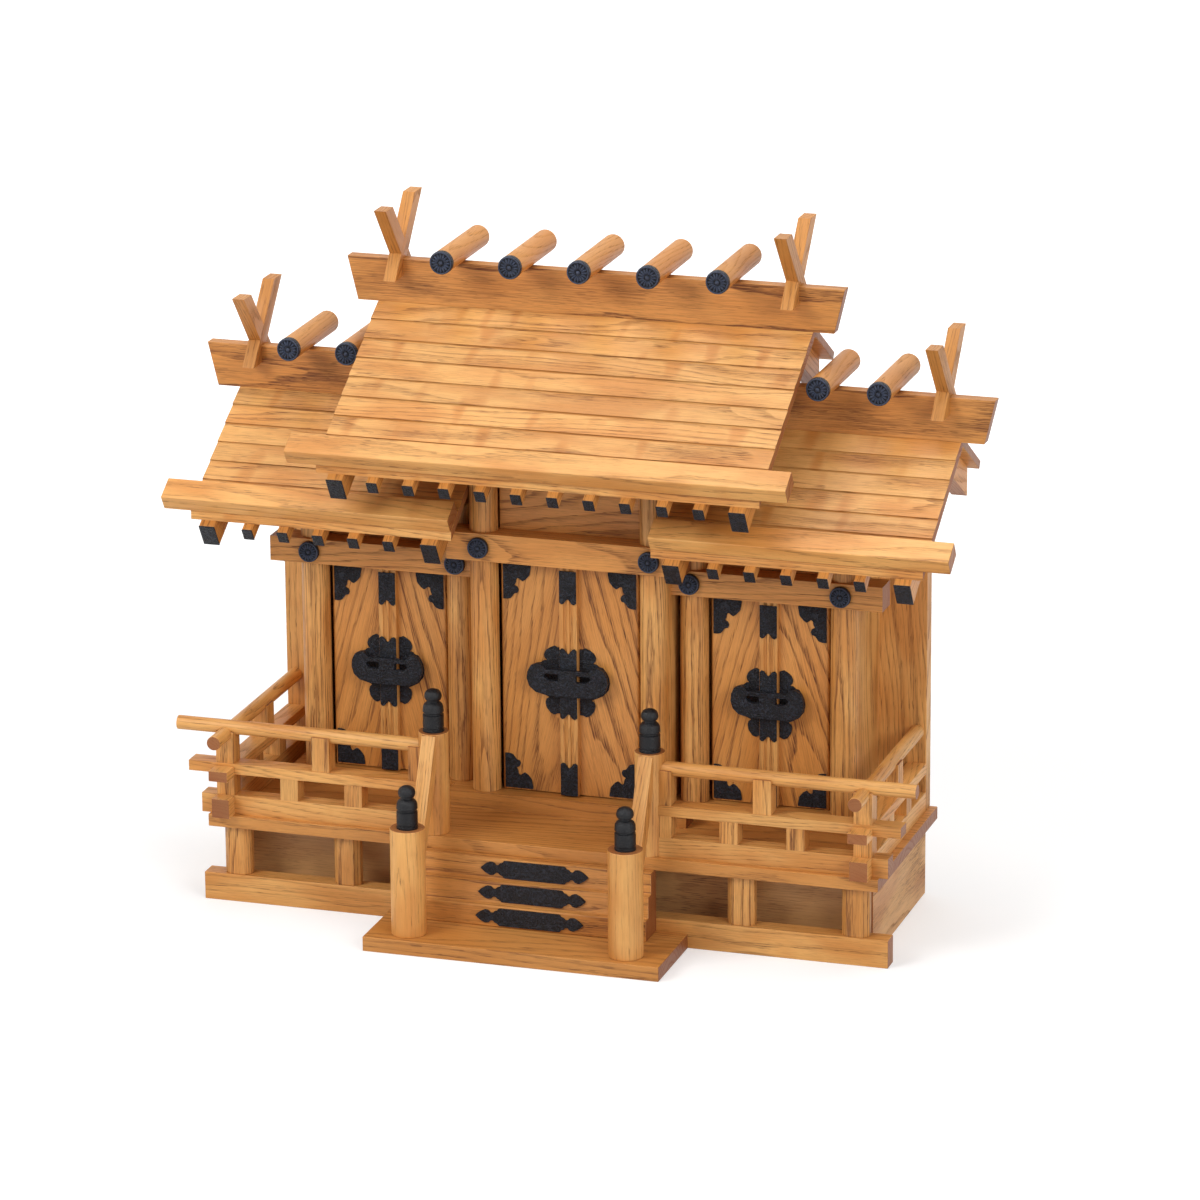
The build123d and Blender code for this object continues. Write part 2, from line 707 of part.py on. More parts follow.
def billet(x, ridge_y, ridge_top):
    """Round billet seated on the ridge, with a metal disc on its front end."""
    z = ridge_top + billet_r - billet_seat
    y0 = ridge_y - billet_front_reach
    body = rod_y(x, y0 + billet_cap_t, ridge_y + billet_rear_reach, z, billet_r)
    body -= block(x - billet_r, x + billet_r, ridge_y - ridge_t / 2, ridge_y + ridge_t / 2,
                  ridge_top - billet_r, ridge_top)
    return body, rod_y(x, y0, y0 + billet_cap_t, z, billet_cap_r)


def finial_arms(x, ridge_y, ridge_top):
    """Two arms half-lapped into a cross that is notched over the ridge board."""
    cross_z = ridge_top + finial_cross_above
    reach = 2 * finial_top_above
    side = finial_thickness
    near, far = ridge_y - reach, ridge_y + reach
    limit = block(x - side, x + side, near, far, ridge_top - finial_foot_below, ridge_top + finial_top_above)
    ridge = block(x - side, x + side, ridge_y - ridge_t / 2, ridge_y + ridge_t / 2,
                  ridge_top - reach, ridge_top)
    arms = []
    halves = (block(x - side, x, near, far, cross_z - reach, cross_z + reach),
              block(x, x + side, near, far, cross_z - reach, cross_z + reach))
    bars = [Pos(x, ridge_y, cross_z) * Rot(angle, 0, 0) * Box(finial_thickness, finial_width, 2 * reach)
            for angle in (finial_angle, -finial_angle)]
    for bar, other, half in zip(bars, reversed(bars), halves):
        arms.append((bar & limit) - ridge - (other & half))
    return arms


def make_ridge_pieces():
    center_top = center_ridge_foot_z + center_ridge_height
    side_top = side_ridge_foot_z + side_ridge_height
    bodies = []
    discs = []
    places = [(i * center_billet_spacing, ridge_y, center_top) for i in range(-2, 3)]
    for x in (side_billet_inner_x, side_billet_outer_x):
        places += [(x, ridge_y, side_top), (-x, ridge_y, side_top)]
    for x, y, z in places:
        body, disc = billet(x, y, z)
        bodies.append(body)
        discs.append(disc)
    leaning = [finial_arms(center_roof_half - center_finial_inset, ridge_y, center_top),
               finial_arms(side_roof_end_x - side_finial_inset, ridge_y, side_top)]
    return {
        "ridge_billets": bodies,
        "billet_caps": discs,
        "finial_front_arms": mirrored([pair[0] for pair in leaning]),
        "finial_rear_arms": mirrored([pair[1] for pair in leaning]),
    }


# Doors

def corner_plate(hinge_x, side, z, up, y):
    """Corner fitting: two straight outer edges and a scooped inner edge."""
    w = corner_plate_width * side
    h = corner_plate_height * up
    points = [(0, 0), (w, 0), (0.92 * w, 0.22 * h), (0.62 * w, 0.2 * h), (0.5 * w, 0.32 * h),
              (0.56 * w, 0.5 * h), (0.34 * w, 0.56 * h), (0.4 * w, 0.84 * h), (0.2 * w, h), (0, h)]
    return prism_y([(hinge_x + px, z + pz) for px, pz in points], y - fitting_t, y)


def lock_wing(x0, x1, z, y):
    """One wing of the lock fitting: an upper, a wide middle and a lower lobe."""
    w = x1 - x0
    h = lock_height / 2
    lobes = [(0, 0.96), (0.19, 1), (0.4, 0.92), (0.53, 0.74), (0.52, 0.64), (0.43, 0.57), (0.74, 0.49),
             (0.93, 0.33), (1, 0.06), (0.9, -0.2), (0.65, -0.38), (0.4, -0.46), (0.5, -0.58), (0.5, -0.7),
             (0.38, -0.86), (0.2, -0.95), (0, -0.93)]
    return prism_y([(x0 + w * a, z + h * b) for a, b in lobes], y - fitting_t, y)


def notched_plate(x, z0, z1, y, top_cut, foot_cut):
    """Plate on the batten; a cut end has two rounded lobes beside a pointed notch."""
    half = batten_plate_width / 2
    cut = [(-1, 0.32), (-0.75, 0), (-0.47, 0.15), (-0.23, 0.7), (0, 1), (0.23, 0.7), (0.47, 0.15),
           (0.75, 0), (1, 0.32)]
    plain = [(-1, 0), (1, 0)]
    top = [(x + half * a, z1 - plate_notch * b) for a, b in (cut if top_cut else plain)]
    foot = [(x - half * a, z0 + plate_notch * b) for a, b in (cut if foot_cut else plain)]
    return prism_y(top + foot, y - fitting_t, y)


def lock_body(x, z, y, half):
    """Boat-shaped body of the lock with two horns, and two openings under its top bar."""
    h = lock_height / 2
    side = [(0.52, 0.41), (0.63, 0.52), (0.76, 0.55), (0.9, 0.48), (0.98, 0.31), (1, 0.11), (0.94, -0.1),
            (0.78, -0.25), (0.51, -0.32), (0, -0.33)]
    outline = side + [(-a, b) for a, b in reversed(side[:-1])]
    body = prism_y([(x + half * a, z + h * b) for a, b in outline], y - lock_body_t, y)
    for way in (-half, half):
        opening = [(0.22, 0.29), (0.54, 0.29), (0.59, 0.21), (0.47, 0.1), (0.22, 0.1)]
        body -= prism_y([(x + way * a, z + h * b) for a, b in opening], y - lock_body_t, y)
    return body


def make_doors():
    nodes = {}
    for shrine in shrines:
        name = shrine["name"]
        left_pivot, right_pivot = shrine["pivots"]
        mid = (left_pivot + right_pivot) / 2
        y = shrine["pivot_y"]
        front = y - leaf_t / 2
        z0 = threshold_top + leaf_end_gap
        z1 = shrine["top"] - leaf_end_gap
        lock_z = threshold_top + lock_z_above_sill - (center_lintel_z - shrine["top"]) / 2
        lock_half = center_lock_half if name == "center" else side_lock_half

        for hand, pivot, way in (("left", left_pivot, 1), ("right", right_pivot, -1)):
            edge = mid - way * leaf_gap / 2
            x0, x1 = min(pivot, edge), max(pivot, edge)
            leaf = block(x0, x1, front, front + leaf_t, z0, z1) + post(pivot, y, z0, z1, leaf_t / 2)
            leaf += post(pivot, y, threshold_top - pin_length, shrine["top"] + pin_length, pin_r)
            nodes[f"{name}_door_{hand}"] = [leaf]
            hinge_x = pivot - way * corner_plate_outside
            plates = [corner_plate(hinge_x, way, z1 - corner_plate_top, -1, front),
                      corner_plate(hinge_x, way, z0 + corner_plate_foot, 1, front)]
            wing_in = mid - way * (batten_width / 2 + lock_gap)
            wing_out = mid - way * lock_span / 2
            plates.append(lock_wing(wing_in, wing_out, lock_z, front))
            nodes[f"{name}_fittings_{hand}"] = plates

        batten_back = front - leaf_gap / 2
        batten = block(mid - batten_width / 2, mid + batten_width / 2, batten_back - batten_t, batten_back,
                       z0, z1)
        batten += block(mid + leaf_gap / 2, mid + batten_width / 2, batten_back, front, z0, z1)
        for share in (-1 / 6, 1 / 6):
            x = mid + batten_width * share
            batten -= post(x, batten_back - batten_t, z0 - 1, z1 + 1, batten_groove)
        nodes[f"{name}_batten"] = [batten]
        face = batten_back - batten_t
        top_z = z1 - batten_plate_top
        foot_z = z0 + batten_plate_foot
        half = lock_height / 2
        center_plate = notched_plate(mid, lock_z - half, lock_z + half, face, True, True)
        trim = [notched_plate(mid, top_z - batten_plate_height, top_z, face, False, True),
                notched_plate(mid, foot_z, foot_z + batten_plate_height, face, True, False),
                center_plate + lock_body(mid, lock_z, face - fitting_t, lock_half)]
        nodes[f"{name}_lock"] = trim
    return nodes


nodes = {}
for group in (make_base(), make_floor(), make_stair(), make_railings(), make_body(), make_roofs(),
              make_ridge_pieces(), make_doors()):
    nodes.update(group)

# The origin is the middle of the footprint's box on the ground
boxes = [shape.bounding_box() for shapes in nodes.values() for shape in shapes]
middle_y = (min(b.min.Y for b in boxes) + max(b.max.Y for b in boxes)) / 2
shift = Pos(0, -middle_y, 0)

os.makedirs("parts", exist_ok=True)
for name, shapes in nodes.items():
    solids = [s for shape in shapes for s in shape.solids()]
    placed = [shift * s for s in solids]
    whole = placed[0] if len(placed) == 1 else Compound(children=placed)
    export_step(whole, f"parts/{name}.step")
print(len(nodes), "nodes, origin shift", round(middle_y, 3))
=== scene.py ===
# %% [markdown]
# # A household shrine cabinet in zelkova wood and black iron
# The cabinet stands on a household shelf: three small shrines side by side, each with a pair of
# pivoted doors, under stepped gable roofs, with a railed balcony and a short stair in front.
# The measured solids are already there as a fixed frame. They could be shown as they are, but a
# planed board has softened edges and its own grain, so most of this lesson makes careful copies of
# the solids and gives every board a grain that runs along its own length.

# %% Load the frame
import json
import math
import random

import bmesh
import bpy
from mathutils import Matrix, Vector


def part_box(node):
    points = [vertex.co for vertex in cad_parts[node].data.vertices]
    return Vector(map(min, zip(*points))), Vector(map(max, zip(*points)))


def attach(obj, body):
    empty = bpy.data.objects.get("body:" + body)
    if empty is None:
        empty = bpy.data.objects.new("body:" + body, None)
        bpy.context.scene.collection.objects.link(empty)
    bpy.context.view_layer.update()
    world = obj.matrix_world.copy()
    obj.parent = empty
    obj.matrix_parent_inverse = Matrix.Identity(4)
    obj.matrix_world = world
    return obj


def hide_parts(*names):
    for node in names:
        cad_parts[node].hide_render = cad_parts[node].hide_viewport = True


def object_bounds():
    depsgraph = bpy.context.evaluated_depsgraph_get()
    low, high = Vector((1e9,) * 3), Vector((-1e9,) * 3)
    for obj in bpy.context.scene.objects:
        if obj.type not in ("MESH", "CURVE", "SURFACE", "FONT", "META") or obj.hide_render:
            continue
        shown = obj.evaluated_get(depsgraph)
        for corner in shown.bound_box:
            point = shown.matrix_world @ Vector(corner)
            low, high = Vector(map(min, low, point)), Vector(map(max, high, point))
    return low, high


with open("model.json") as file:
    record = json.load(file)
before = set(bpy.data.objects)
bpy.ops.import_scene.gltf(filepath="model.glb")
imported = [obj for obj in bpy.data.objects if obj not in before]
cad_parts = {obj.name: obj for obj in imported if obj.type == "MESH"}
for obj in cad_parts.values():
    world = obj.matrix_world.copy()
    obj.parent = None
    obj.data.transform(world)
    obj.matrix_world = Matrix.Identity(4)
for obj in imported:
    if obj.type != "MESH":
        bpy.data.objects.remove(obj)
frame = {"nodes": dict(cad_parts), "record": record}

MM = 0.001
SHRINES = ("left", "center", "right")
nodes = frame["nodes"]
bodies = frame["record"]["behaviour"]["bodies"]
body_of_node = {node: body for body, names in bodies.items() for node in names}
cad_low, cad_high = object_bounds()
print("nodes", len(nodes), "box in mm", [round(v / MM, 1) for v in cad_high - cad_low])

# %% [markdown]
# ## The viewpoint
# A long lens from a little above and to the right shows the front, the right side and the roofs.
# A camera could be turned by angles, but three axes that are built from the view direction also
# take the slight roll, and they say plainly which way is up in the picture.

# %% Camera
VIEW_AZIMUTH = math.radians(17.83)
VIEW_ELEVATION = math.radians(17.25)
VIEW_ROLL = math.radians(-0.47)
VIEW_TARGET = Vector((26.02, 1.5, 227.07)) * MM
VIEW_DISTANCE = 4.28294
LENS = 185.43
SENSOR = 36.0
FARTHEST = 100

outward = Vector((math.sin(VIEW_AZIMUTH) * math.cos(VIEW_ELEVATION),
                  -math.cos(VIEW_AZIMUTH) * math.cos(VIEW_ELEVATION), math.sin(VIEW_ELEVATION)))
level = Vector((math.cos(VIEW_AZIMUTH), math.sin(VIEW_AZIMUTH), 0))
steep = outward.cross(level)
right = level * math.cos(VIEW_ROLL) + steep * math.sin(VIEW_ROLL)
up = steep * math.cos(VIEW_ROLL) - level * math.sin(VIEW_ROLL)

camera_data = bpy.data.cameras.new("camera")
camera_data.lens = LENS
camera_data.sensor_width = SENSOR
camera_data.sensor_fit = "HORIZONTAL"
camera_data.clip_end = FARTHEST
camera = bpy.data.objects.new("camera", camera_data)
bpy.context.scene.collection.objects.link(camera)
turn = Matrix((right, up, outward)).transposed()
camera.matrix_world = Matrix.Translation(VIEW_TARGET + outward * VIEW_DISTANCE) @ turn.to_4x4()
bpy.context.scene.camera = camera
print("camera stands at", [round(v, 3) for v in camera.location])

# %% [markdown]
# ## Short ways to write node graphs
# Every finish here is a graph of nodes. Adding a node takes a line, setting it takes more, and
# joining it takes another, so a few helpers keep the graphs readable: one adds any node with its
# settings and inputs, and the others write sums, products, smooth steps and mixed colours.

# %% Graph helpers
def add(tree, kind, inputs=(), **settings):
    """One node. Each input is a plain value or another node's socket."""
    node = tree.nodes.new(kind)
    for key, value in settings.items():
        setattr(node, key, value)
    for key, value in dict(inputs).items():
        if isinstance(value, bpy.types.NodeSocket):
            tree.links.new(value, node.inputs[key])
        else:
            node.inputs[key].default_value = value
    return node


def calc(tree, operation, *values):
    """The result of one arithmetic step, as a socket."""
    return add(tree, "ShaderNodeMath", dict(enumerate(values)), operation=operation).outputs[0]


def plus(tree, first, *others):
    for other in others:
        first = calc(tree, "ADD", first, other)
    return first


def times(tree, first, second):
    return calc(tree, "MULTIPLY", first, second)


def vector_math(tree, operation, inputs, output=0):
    return add(tree, "ShaderNodeVectorMath", inputs, operation=operation).outputs[output]


def between(tree, value, low, high, out_low=0.0, out_high=1.0):
    """Smooth step of a value from one range to another."""
    limits = {"Value": value, "From Min": low, "From Max": high, "To Min": out_low, "To Max": out_high}
    return add(tree, "ShaderNodeMapRange", limits, interpolation_type="SMOOTHSTEP").outputs[0]


def blend_colors(tree, share, first, second):
    """The second colour over the first by a share from none to one."""
    # A mix node has unused sockets of the same names, so the colour's sockets go by number.
    return add(tree, "ShaderNodeMix", {0: share, 6: first, 7: second}, data_type="RGBA").outputs[2]


print("graph helpers ready")

# %% Material helpers
def new_material(name):
    material = bpy.data.materials.new(name)
    material.use_nodes = True
    material.node_tree.nodes.clear()
    return material, material.node_tree


def surface(tree, inputs):
    """The shader at the end of a graph, joined to the output."""
    shader = add(tree, "ShaderNodeBsdfPrincipled", inputs)
    add(tree, "ShaderNodeOutputMaterial", {"Surface": shader.outputs[0]})


def tone(red, green, blue):
    """A screen colour of 0 to 255 as the linear values that a shader takes, by the sRGB curve."""
    def linear(value):
        return ((value / 255 + 0.055) / 1.055) ** 2.4 if value > 10 else value / 255 / 12.92

    return [linear(red), linear(green), linear(blue), 1]


print("material helpers ready")

# %% [markdown]
# ## Floor and light
# The cabinet stands on a white surface in soft studio light. A white floor that is only lit never
# reaches full white, so what the camera sees of it is lifted with emission that grows with the
# distance from the cabinet, and the lamps stay at the level where a colour renders as it is
# written. The floor still takes the shadow.

# %% Floor
WHITE = (1, 1, 1, 1)
FLOOR_HALF = 12.0
FLOOR_GREY = 0.66
FLOOR_ROUGHNESS = 0.9
NEAR_LIFT = 0.4
FAR_LIFT = 0.8
NEAR_RADIUS = 0.5
FAR_RADIUS = 1.6


def seen_directly(tree):
    """One where the surface is seen by the camera, in a mirror or through glass."""
    path = add(tree, "ShaderNodeLightPath")
    seen = calc(tree, "MAXIMUM", path.outputs["Is Camera Ray"], path.outputs["Is Glossy Ray"])
    return calc(tree, "MAXIMUM", seen, path.outputs["Is Transmission Ray"])


def make_floor():
    material, tree = new_material("studio_floor")
    place = add(tree, "ShaderNodeTexCoord").outputs["Object"]
    reach = vector_math(tree, "LENGTH", {0: place}, "Value")
    lift = add(tree, "ShaderNodeMapRange", {
        "Value": reach, "From Min": NEAR_RADIUS, "From Max": FAR_RADIUS,
        "To Min": NEAR_LIFT, "To Max": FAR_LIFT}).outputs[0]
    surface(tree, {
        "Base Color": (FLOOR_GREY,) * 3 + (1,), "Roughness": FLOOR_ROUGHNESS, "Specular IOR Level": 0.0,
        "Emission Color": WHITE, "Emission Strength": times(tree, seen_directly(tree), lift)})
    bm = bmesh.new()
    bmesh.ops.create_grid(bm, x_segments=1, y_segments=1, size=FLOOR_HALF)
    mesh = bpy.data.meshes.new("studio_floor")
    bm.to_mesh(mesh)
    bm.free()
    floor = bpy.data.objects.new("studio_floor", mesh)
    mesh.materials.append(material)
    bpy.context.scene.collection.objects.link(floor)
    floor.location.z = cad_low.z


make_floor()
print("floor", 2 * FLOOR_HALF, "m across")

# %% [markdown]
# ## Lamps and sky
# Three square lamps light the cabinet: the key from the left, a fill from the right and a soft one
# from above. Point lamps would do, but they cut hard shadows under the eaves, and a large lamp
# softens them. The key stands closest, so the left shrine gets a little more light than the right
# one. The sky is dim as a light, and white where the camera sees it.

# %% Lamps and sky
SKY_LIGHT = 0.26
LAMPS = {
    "key_left": {"place": (-1.6, -2.0, 1.9), "size": 1.4, "watts": 49},
    "fill_right": {"place": (3.2, -2.6, 1.9), "size": 2.2, "watts": 74},
    "top_soft": {"place": (0.2, 0.4, 3.6), "size": 2.6, "watts": 80},
}


def make_sky():
    world = bpy.data.worlds.new("studio_sky")
    world.use_nodes = True
    tree = world.node_tree
    tree.nodes.clear()
    dim = add(tree, "ShaderNodeBackground", {"Color": WHITE, "Strength": SKY_LIGHT}).outputs[0]
    white = add(tree, "ShaderNodeBackground", {"Color": WHITE, "Strength": 1.0}).outputs[0]
    mixed = add(tree, "ShaderNodeMixShader", {0: seen_directly(tree), 1: dim, 2: white})
    add(tree, "ShaderNodeOutputWorld", {"Surface": mixed.outputs[0]})
    bpy.context.scene.world = world


def make_lamp(name, place, size, watts):
    data = bpy.data.lights.new(name, "AREA")
    data.shape = "SQUARE"
    data.size = size
    data.energy = watts
    lamp = bpy.data.objects.new(name, data)
    bpy.context.scene.collection.objects.link(lamp)
    lamp.location = place
    lamp.rotation_euler = (Vector(place) - VIEW_TARGET).to_track_quat("Z", "Y").to_euler()


make_sky()
for name, lamp in LAMPS.items():
    make_lamp(name, **lamp)
bpy.context.scene.view_settings.view_transform = "Standard"
print("lamps", list(LAMPS))

# %% [markdown]
# ## Where a point lies in its board
# Zelkova is ring-porous: each year starts with a dark line of open pores and goes on in dense,
# honey-coloured wood. A flat picture of grain could be wrapped round a board, but it would not
# match between faces. The graph works in millimetres inside the board itself instead, so a ring
# that crosses an edge goes on along the next face. Two attributes on each copy say where a board's
# own middle is, and give it a number of its own.

# %% Board coordinates
LOT_FACTORS = (17.31, 43.77)
RUN_SHIFT = 4177.0


def board_point(tree, folds):
    """The point in millimetres from the middle of its own board; past a ridge it is mirrored."""
    place = add(tree, "ShaderNodeTexCoord").outputs["Object"]
    middle = add(tree, "ShaderNodeAttribute", attribute_name="middle").outputs["Vector"]
    offset = vector_math(tree, "SUBTRACT", {0: place, 1: middle})
    point = vector_math(tree, "SCALE", {0: offset, "Scale": 1 / MM})
    if folds:
        x, y, z = add(tree, "ShaderNodeSeparateXYZ", {0: point}).outputs
        mirrored = times(tree, calc(tree, "ABSOLUTE", y), -1.0)
        point = add(tree, "ShaderNodeCombineXYZ", {0: x, 1: mirrored, 2: z}).outputs[0]
    return point


def measure(tree, point, direction):
    return vector_math(tree, "DOT_PRODUCT", {0: point, 1: direction}, "Value")


def board_numbers(tree):
    """Three numbers from 0 to 1 that differ from board to board."""
    number = add(tree, "ShaderNodeAttribute", attribute_name="board").outputs["Fac"]
    return [number] + [calc(tree, "FRACT", times(tree, number, factor)) for factor in LOT_FACTORS]


print("board coordinates ready")

# %% [markdown]
# ## Rings, fibres and pores
# A year's line is a thin shell round the middle of the trunk. Its shape on a board could be drawn
# by hand, but here it comes from the distance to that middle, so a board that is cut at a slight
# angle to the trunk shows the pointed arches that cabinet makers look for. All the rest is noise
# that is stretched along the grain or across it: fine fibres, short dark pores, soft patches of
# colour, and faint bands across the grain.

# %% Grain patterns
# Each pattern's length, width, detail and roughness, and the noise values from none to full.
PATTERNS = {
    "fibres": (34.0, 0.8, 3.0, 0.6, 0.36, 0.68),
    "pores": (10.0, 0.6, 1.0, 0.5, 0.57, 0.66),
    "patches": (85.0, 26.0, 2.0, 0.5, 0.38, 0.66),
    "figure": (20.0, 75.0, 1.0, 0.5, 0.48, 0.72),
}
SLOW_WAVE = (190.0, 46.0, 1.0, 0.5)
QUICK_WAVE = (45.0, 9.0, 2.0, 0.5)
QUICK_SHARE = 0.7
LEAN_MIDDLE = 0.35
YEAR_NOISE = 0.55
YEAR_SHIFT = 1.6
EARLY_WOOD = 0.5
LINE_START = 0.93


def streaks(tree, grain, length, width, detail, rough):
    """Noise that is long with the grain and narrow across it, both in millimetres."""
    vector = add(tree, "ShaderNodeCombineXYZ", {
        axis: calc(tree, "DIVIDE", distance, size)
        for axis, (distance, size) in enumerate(zip(grain, (length, width, width)))}).outputs[0]
    noise = {"Vector": vector, "Scale": 1.0, "Detail": detail, "Roughness": rough}
    return add(tree, "ShaderNodeTexNoise", noise).outputs["Fac"]


def pattern(tree, grain, name):
    length, width, detail, rough, low, high = PATTERNS[name]
    return between(tree, streaks(tree, grain, length, width, detail, rough), low, high)


def trunk_distance(tree, grain, run, numbers, ring, taper, pith, spread, warp):
    """How far a point lies from the middle of its trunk, which leans and waves a little."""
    first, second, third = numbers
    wide, deep = grain[1:]
    slow = calc(tree, "SUBTRACT", streaks(tree, grain, *SLOW_WAVE), 0.5)
    quick = calc(tree, "SUBTRACT", streaks(tree, grain, *QUICK_WAVE), 0.5)
    from_side = plus(tree, wide, times(tree, calc(tree, "SUBTRACT", first, 0.5), spread))
    from_face = plus(tree, deep, times(tree, plus(tree, second, 0.5), pith))
    squared = plus(tree, times(tree, from_side, from_side), times(tree, from_face, from_face))
    lean = times(tree, run, times(tree, calc(tree, "SUBTRACT", third, LEAN_MIDDLE), 2 * taper))
    waves = times(tree, slow, 2 * warp), times(tree, quick, QUICK_SHARE * ring)
    return plus(tree, calc(tree, "SQRT", squared), lean, *waves)


def ring_line(tree, distance, ring):
    """One on the dark line that starts a year, falling to none through the early wood."""
    years = calc(tree, "DIVIDE", distance, ring)
    uneven = add(tree, "ShaderNodeTexNoise", {"W": years, "Scale": YEAR_NOISE, "Detail": 1.0},
                 noise_dimensions="1D").outputs["Fac"]
    year = calc(tree, "FRACT", plus(tree, years, times(tree, uneven, YEAR_SHIFT)))
    fading = between(tree, year, 0.0, EARLY_WOOD, 1.0, 0.0)
    return calc(tree, "MAXIMUM", fading, between(tree, year, LINE_START, 1.0))


print("grain patterns", list(PATTERNS))

# %% [markdown]
# ## Zelkova wood
# The real wood is pale and honey-coloured in patches, darker along the ring lines and the fibres,
# darkest in the pores, and reddish where a board shows its end. One mixed colour would look like
# plastic, so the colours are laid over each other in that order. The pores and lines are also cut
# in a little as a bump, which is what a finger feels on planed zelkova.

# %% Wood colours
LIGHT_WOOD = tone(226, 168, 96)
HONEY_WOOD = tone(203, 134, 62)
# A darker, more saturated copy of the pale wood: partly painted shade, which deepens front faces that stand
# in shade such as the doors, lintels and stair, and partly the deeper tone of the billets and finial arms.
DEEP_AND_SHADED_WOOD = tone(214, 148, 76)
LINE_WOOD = tone(112, 62, 26)
PORE_WOOD = tone(84, 44, 18)
END_WOOD = tone(126, 64, 32)
PATCH_SHARE = 0.85
LINE_BETWEEN_FIBRES = 0.35
LINE_SHARE = 0.85
FIBRE_SHARE = 0.3
PORE_SHARE = 0.3
PORE_CONTRAST = 0.6
END_SHARE = 0.8
END_FACING = (0.75, 0.95)


def wood_color(tree, line, fibres, pores, patch, contrast, light, honey):
    """Pale and honey wood with its lines, fibres and pores."""
    color = blend_colors(tree, patch, light, honey)
    depth = plus(tree, times(tree, fibres, 1 - LINE_BETWEEN_FIBRES), LINE_BETWEEN_FIBRES)
    on_line = times(tree, times(tree, line, depth), LINE_SHARE * contrast)
    dark = plus(tree, on_line, times(tree, fibres, FIBRE_SHARE * contrast))
    color = blend_colors(tree, dark, color, LINE_WOOD)
    in_pores = times(tree, pores, PORE_SHARE + PORE_CONTRAST * contrast)
    return blend_colors(tree, in_pores, color, PORE_WOOD)


def with_ends(tree, color, along):
    """The colour with end wood on the faces that look along the grain."""
    facing = measure(tree, add(tree, "ShaderNodeTexCoord").outputs["Normal"], along)
    endness = between(tree, calc(tree, "ABSOLUTE", facing), *END_FACING)
    return blend_colors(tree, times(tree, endness, END_SHARE), color, END_WOOD)


print("wood colours ready")

# %% Wood graph
BOARD_SHADE = 0.92
SHADE_RANGE = 0.16
PORES_OFF_LINE = 0.25
LINE_CUT = -0.5
PORE_CUT = -1.0
FIBRE_CUT = -0.3
GRAIN_STRENGTH = 0.5
GRAIN_DEPTH = 0.12 * MM
WOOD_ROUGHNESS = 0.42
GRAIN_ROUGHNESS = 0.12
WOOD_SPECULAR = 0.42


def wood(name, along, across, through, ring=3.0, contrast=0.6, taper=0.08, pith=25.0, spread=30.0,
         shade=1.0, warp=9.0, figured=0.3, folds=False, light=LIGHT_WOOD, honey=HONEY_WOOD):
    """Ring-porous wood whose grain runs along one direction of its board."""
    material, tree = new_material(name)
    point = board_point(tree, folds)
    numbers = board_numbers(tree)
    run, wide, deep = [measure(tree, point, direction) for direction in (along, across, through)]
    grain = (plus(tree, run, times(tree, numbers[0], RUN_SHIFT)), wide, deep)

    distance = trunk_distance(tree, grain, run, numbers, ring, taper, pith, spread, warp)
    line = ring_line(tree, distance, ring)
    fibres = pattern(tree, grain, "fibres")
    near_line = plus(tree, times(tree, line, 1 - PORES_OFF_LINE), PORES_OFF_LINE)
    pores = times(tree, pattern(tree, grain, "pores"), near_line)
    patch = times(tree, pattern(tree, grain, "patches"), PATCH_SHARE)
    patch = calc(tree, "MAXIMUM", patch, times(tree, pattern(tree, grain, "figure"), figured))

    color = with_ends(tree, wood_color(tree, line, fibres, pores, patch, contrast, light, honey), along)
    own_shade = plus(tree, times(tree, numbers[2], SHADE_RANGE * shade), BOARD_SHADE * shade)
    color = vector_math(tree, "SCALE", {0: color, "Scale": own_shade})
    height = plus(tree, times(tree, line, LINE_CUT), times(tree, pores, PORE_CUT),
                  times(tree, fibres, FIBRE_CUT))
    bump = add(tree, "ShaderNodeBump", {
        "Height": height, "Strength": GRAIN_STRENGTH, "Distance": GRAIN_DEPTH})
    rough = plus(tree, times(tree, plus(tree, line, pores), GRAIN_ROUGHNESS), WOOD_ROUGHNESS)
    surface(tree, {"Base Color": color, "Roughness": rough, "Normal": bump.outputs[0],
                   "Specular IOR Level": WOOD_SPECULAR})
    return material


print("wood graph ready")

# %% [markdown]
# ## One wood for each way a board lies
# A carpenter lays the grain along the length of every board, because that is how it is strong:
# along the roof on the roof boards, down the slope on the rafters, upright in posts and doors.
# Each line below names the three directions of one kind of board: along the grain, across the
# face that is seen, and into the board. The rest says how that kind looks: the width of its rings,
# its contrast, and how far its boards lay from the middle of the trunk.

# %% Grain directions
ridge_low, ridge_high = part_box("ridge_board_center")
RIDGE_Y = (ridge_low.y + ridge_high.y) / 2
PITCH = math.radians(31.8)
FINIAL_LEAN = math.radians(39.5)
STAIR_RAIL_RISE = math.radians(66.0)
DOOR_LEAN = math.radians(13.0)
X, Y, Z = (1, 0, 0), (0, 1, 0), (0, 0, 1)


def sloping(angle):
    """A direction that rises by an angle towards the back, and the direction square to it."""
    return (0, math.cos(angle), math.sin(angle)), (0, -math.sin(angle), math.cos(angle))


def leaning(angle):
    """An upright direction that leans to the right, and the direction square to it."""
    return (math.sin(angle), 0, math.cos(angle)), (math.cos(angle), 0, -math.sin(angle))


down_roof, off_roof = sloping(PITCH)
front_arm, off_front_arm = sloping(math.pi / 2 + FINIAL_LEAN)
rear_arm, off_rear_arm = sloping(math.pi / 2 - FINIAL_LEAN)
stair_bar, off_stair_bar = sloping(STAIR_RAIL_RISE)
left_leaf, off_left_leaf = leaning(DOOR_LEAN)
right_leaf, off_right_leaf = leaning(-DOOR_LEAN)
print("down the roof", [round(v, 3) for v in down_roof])
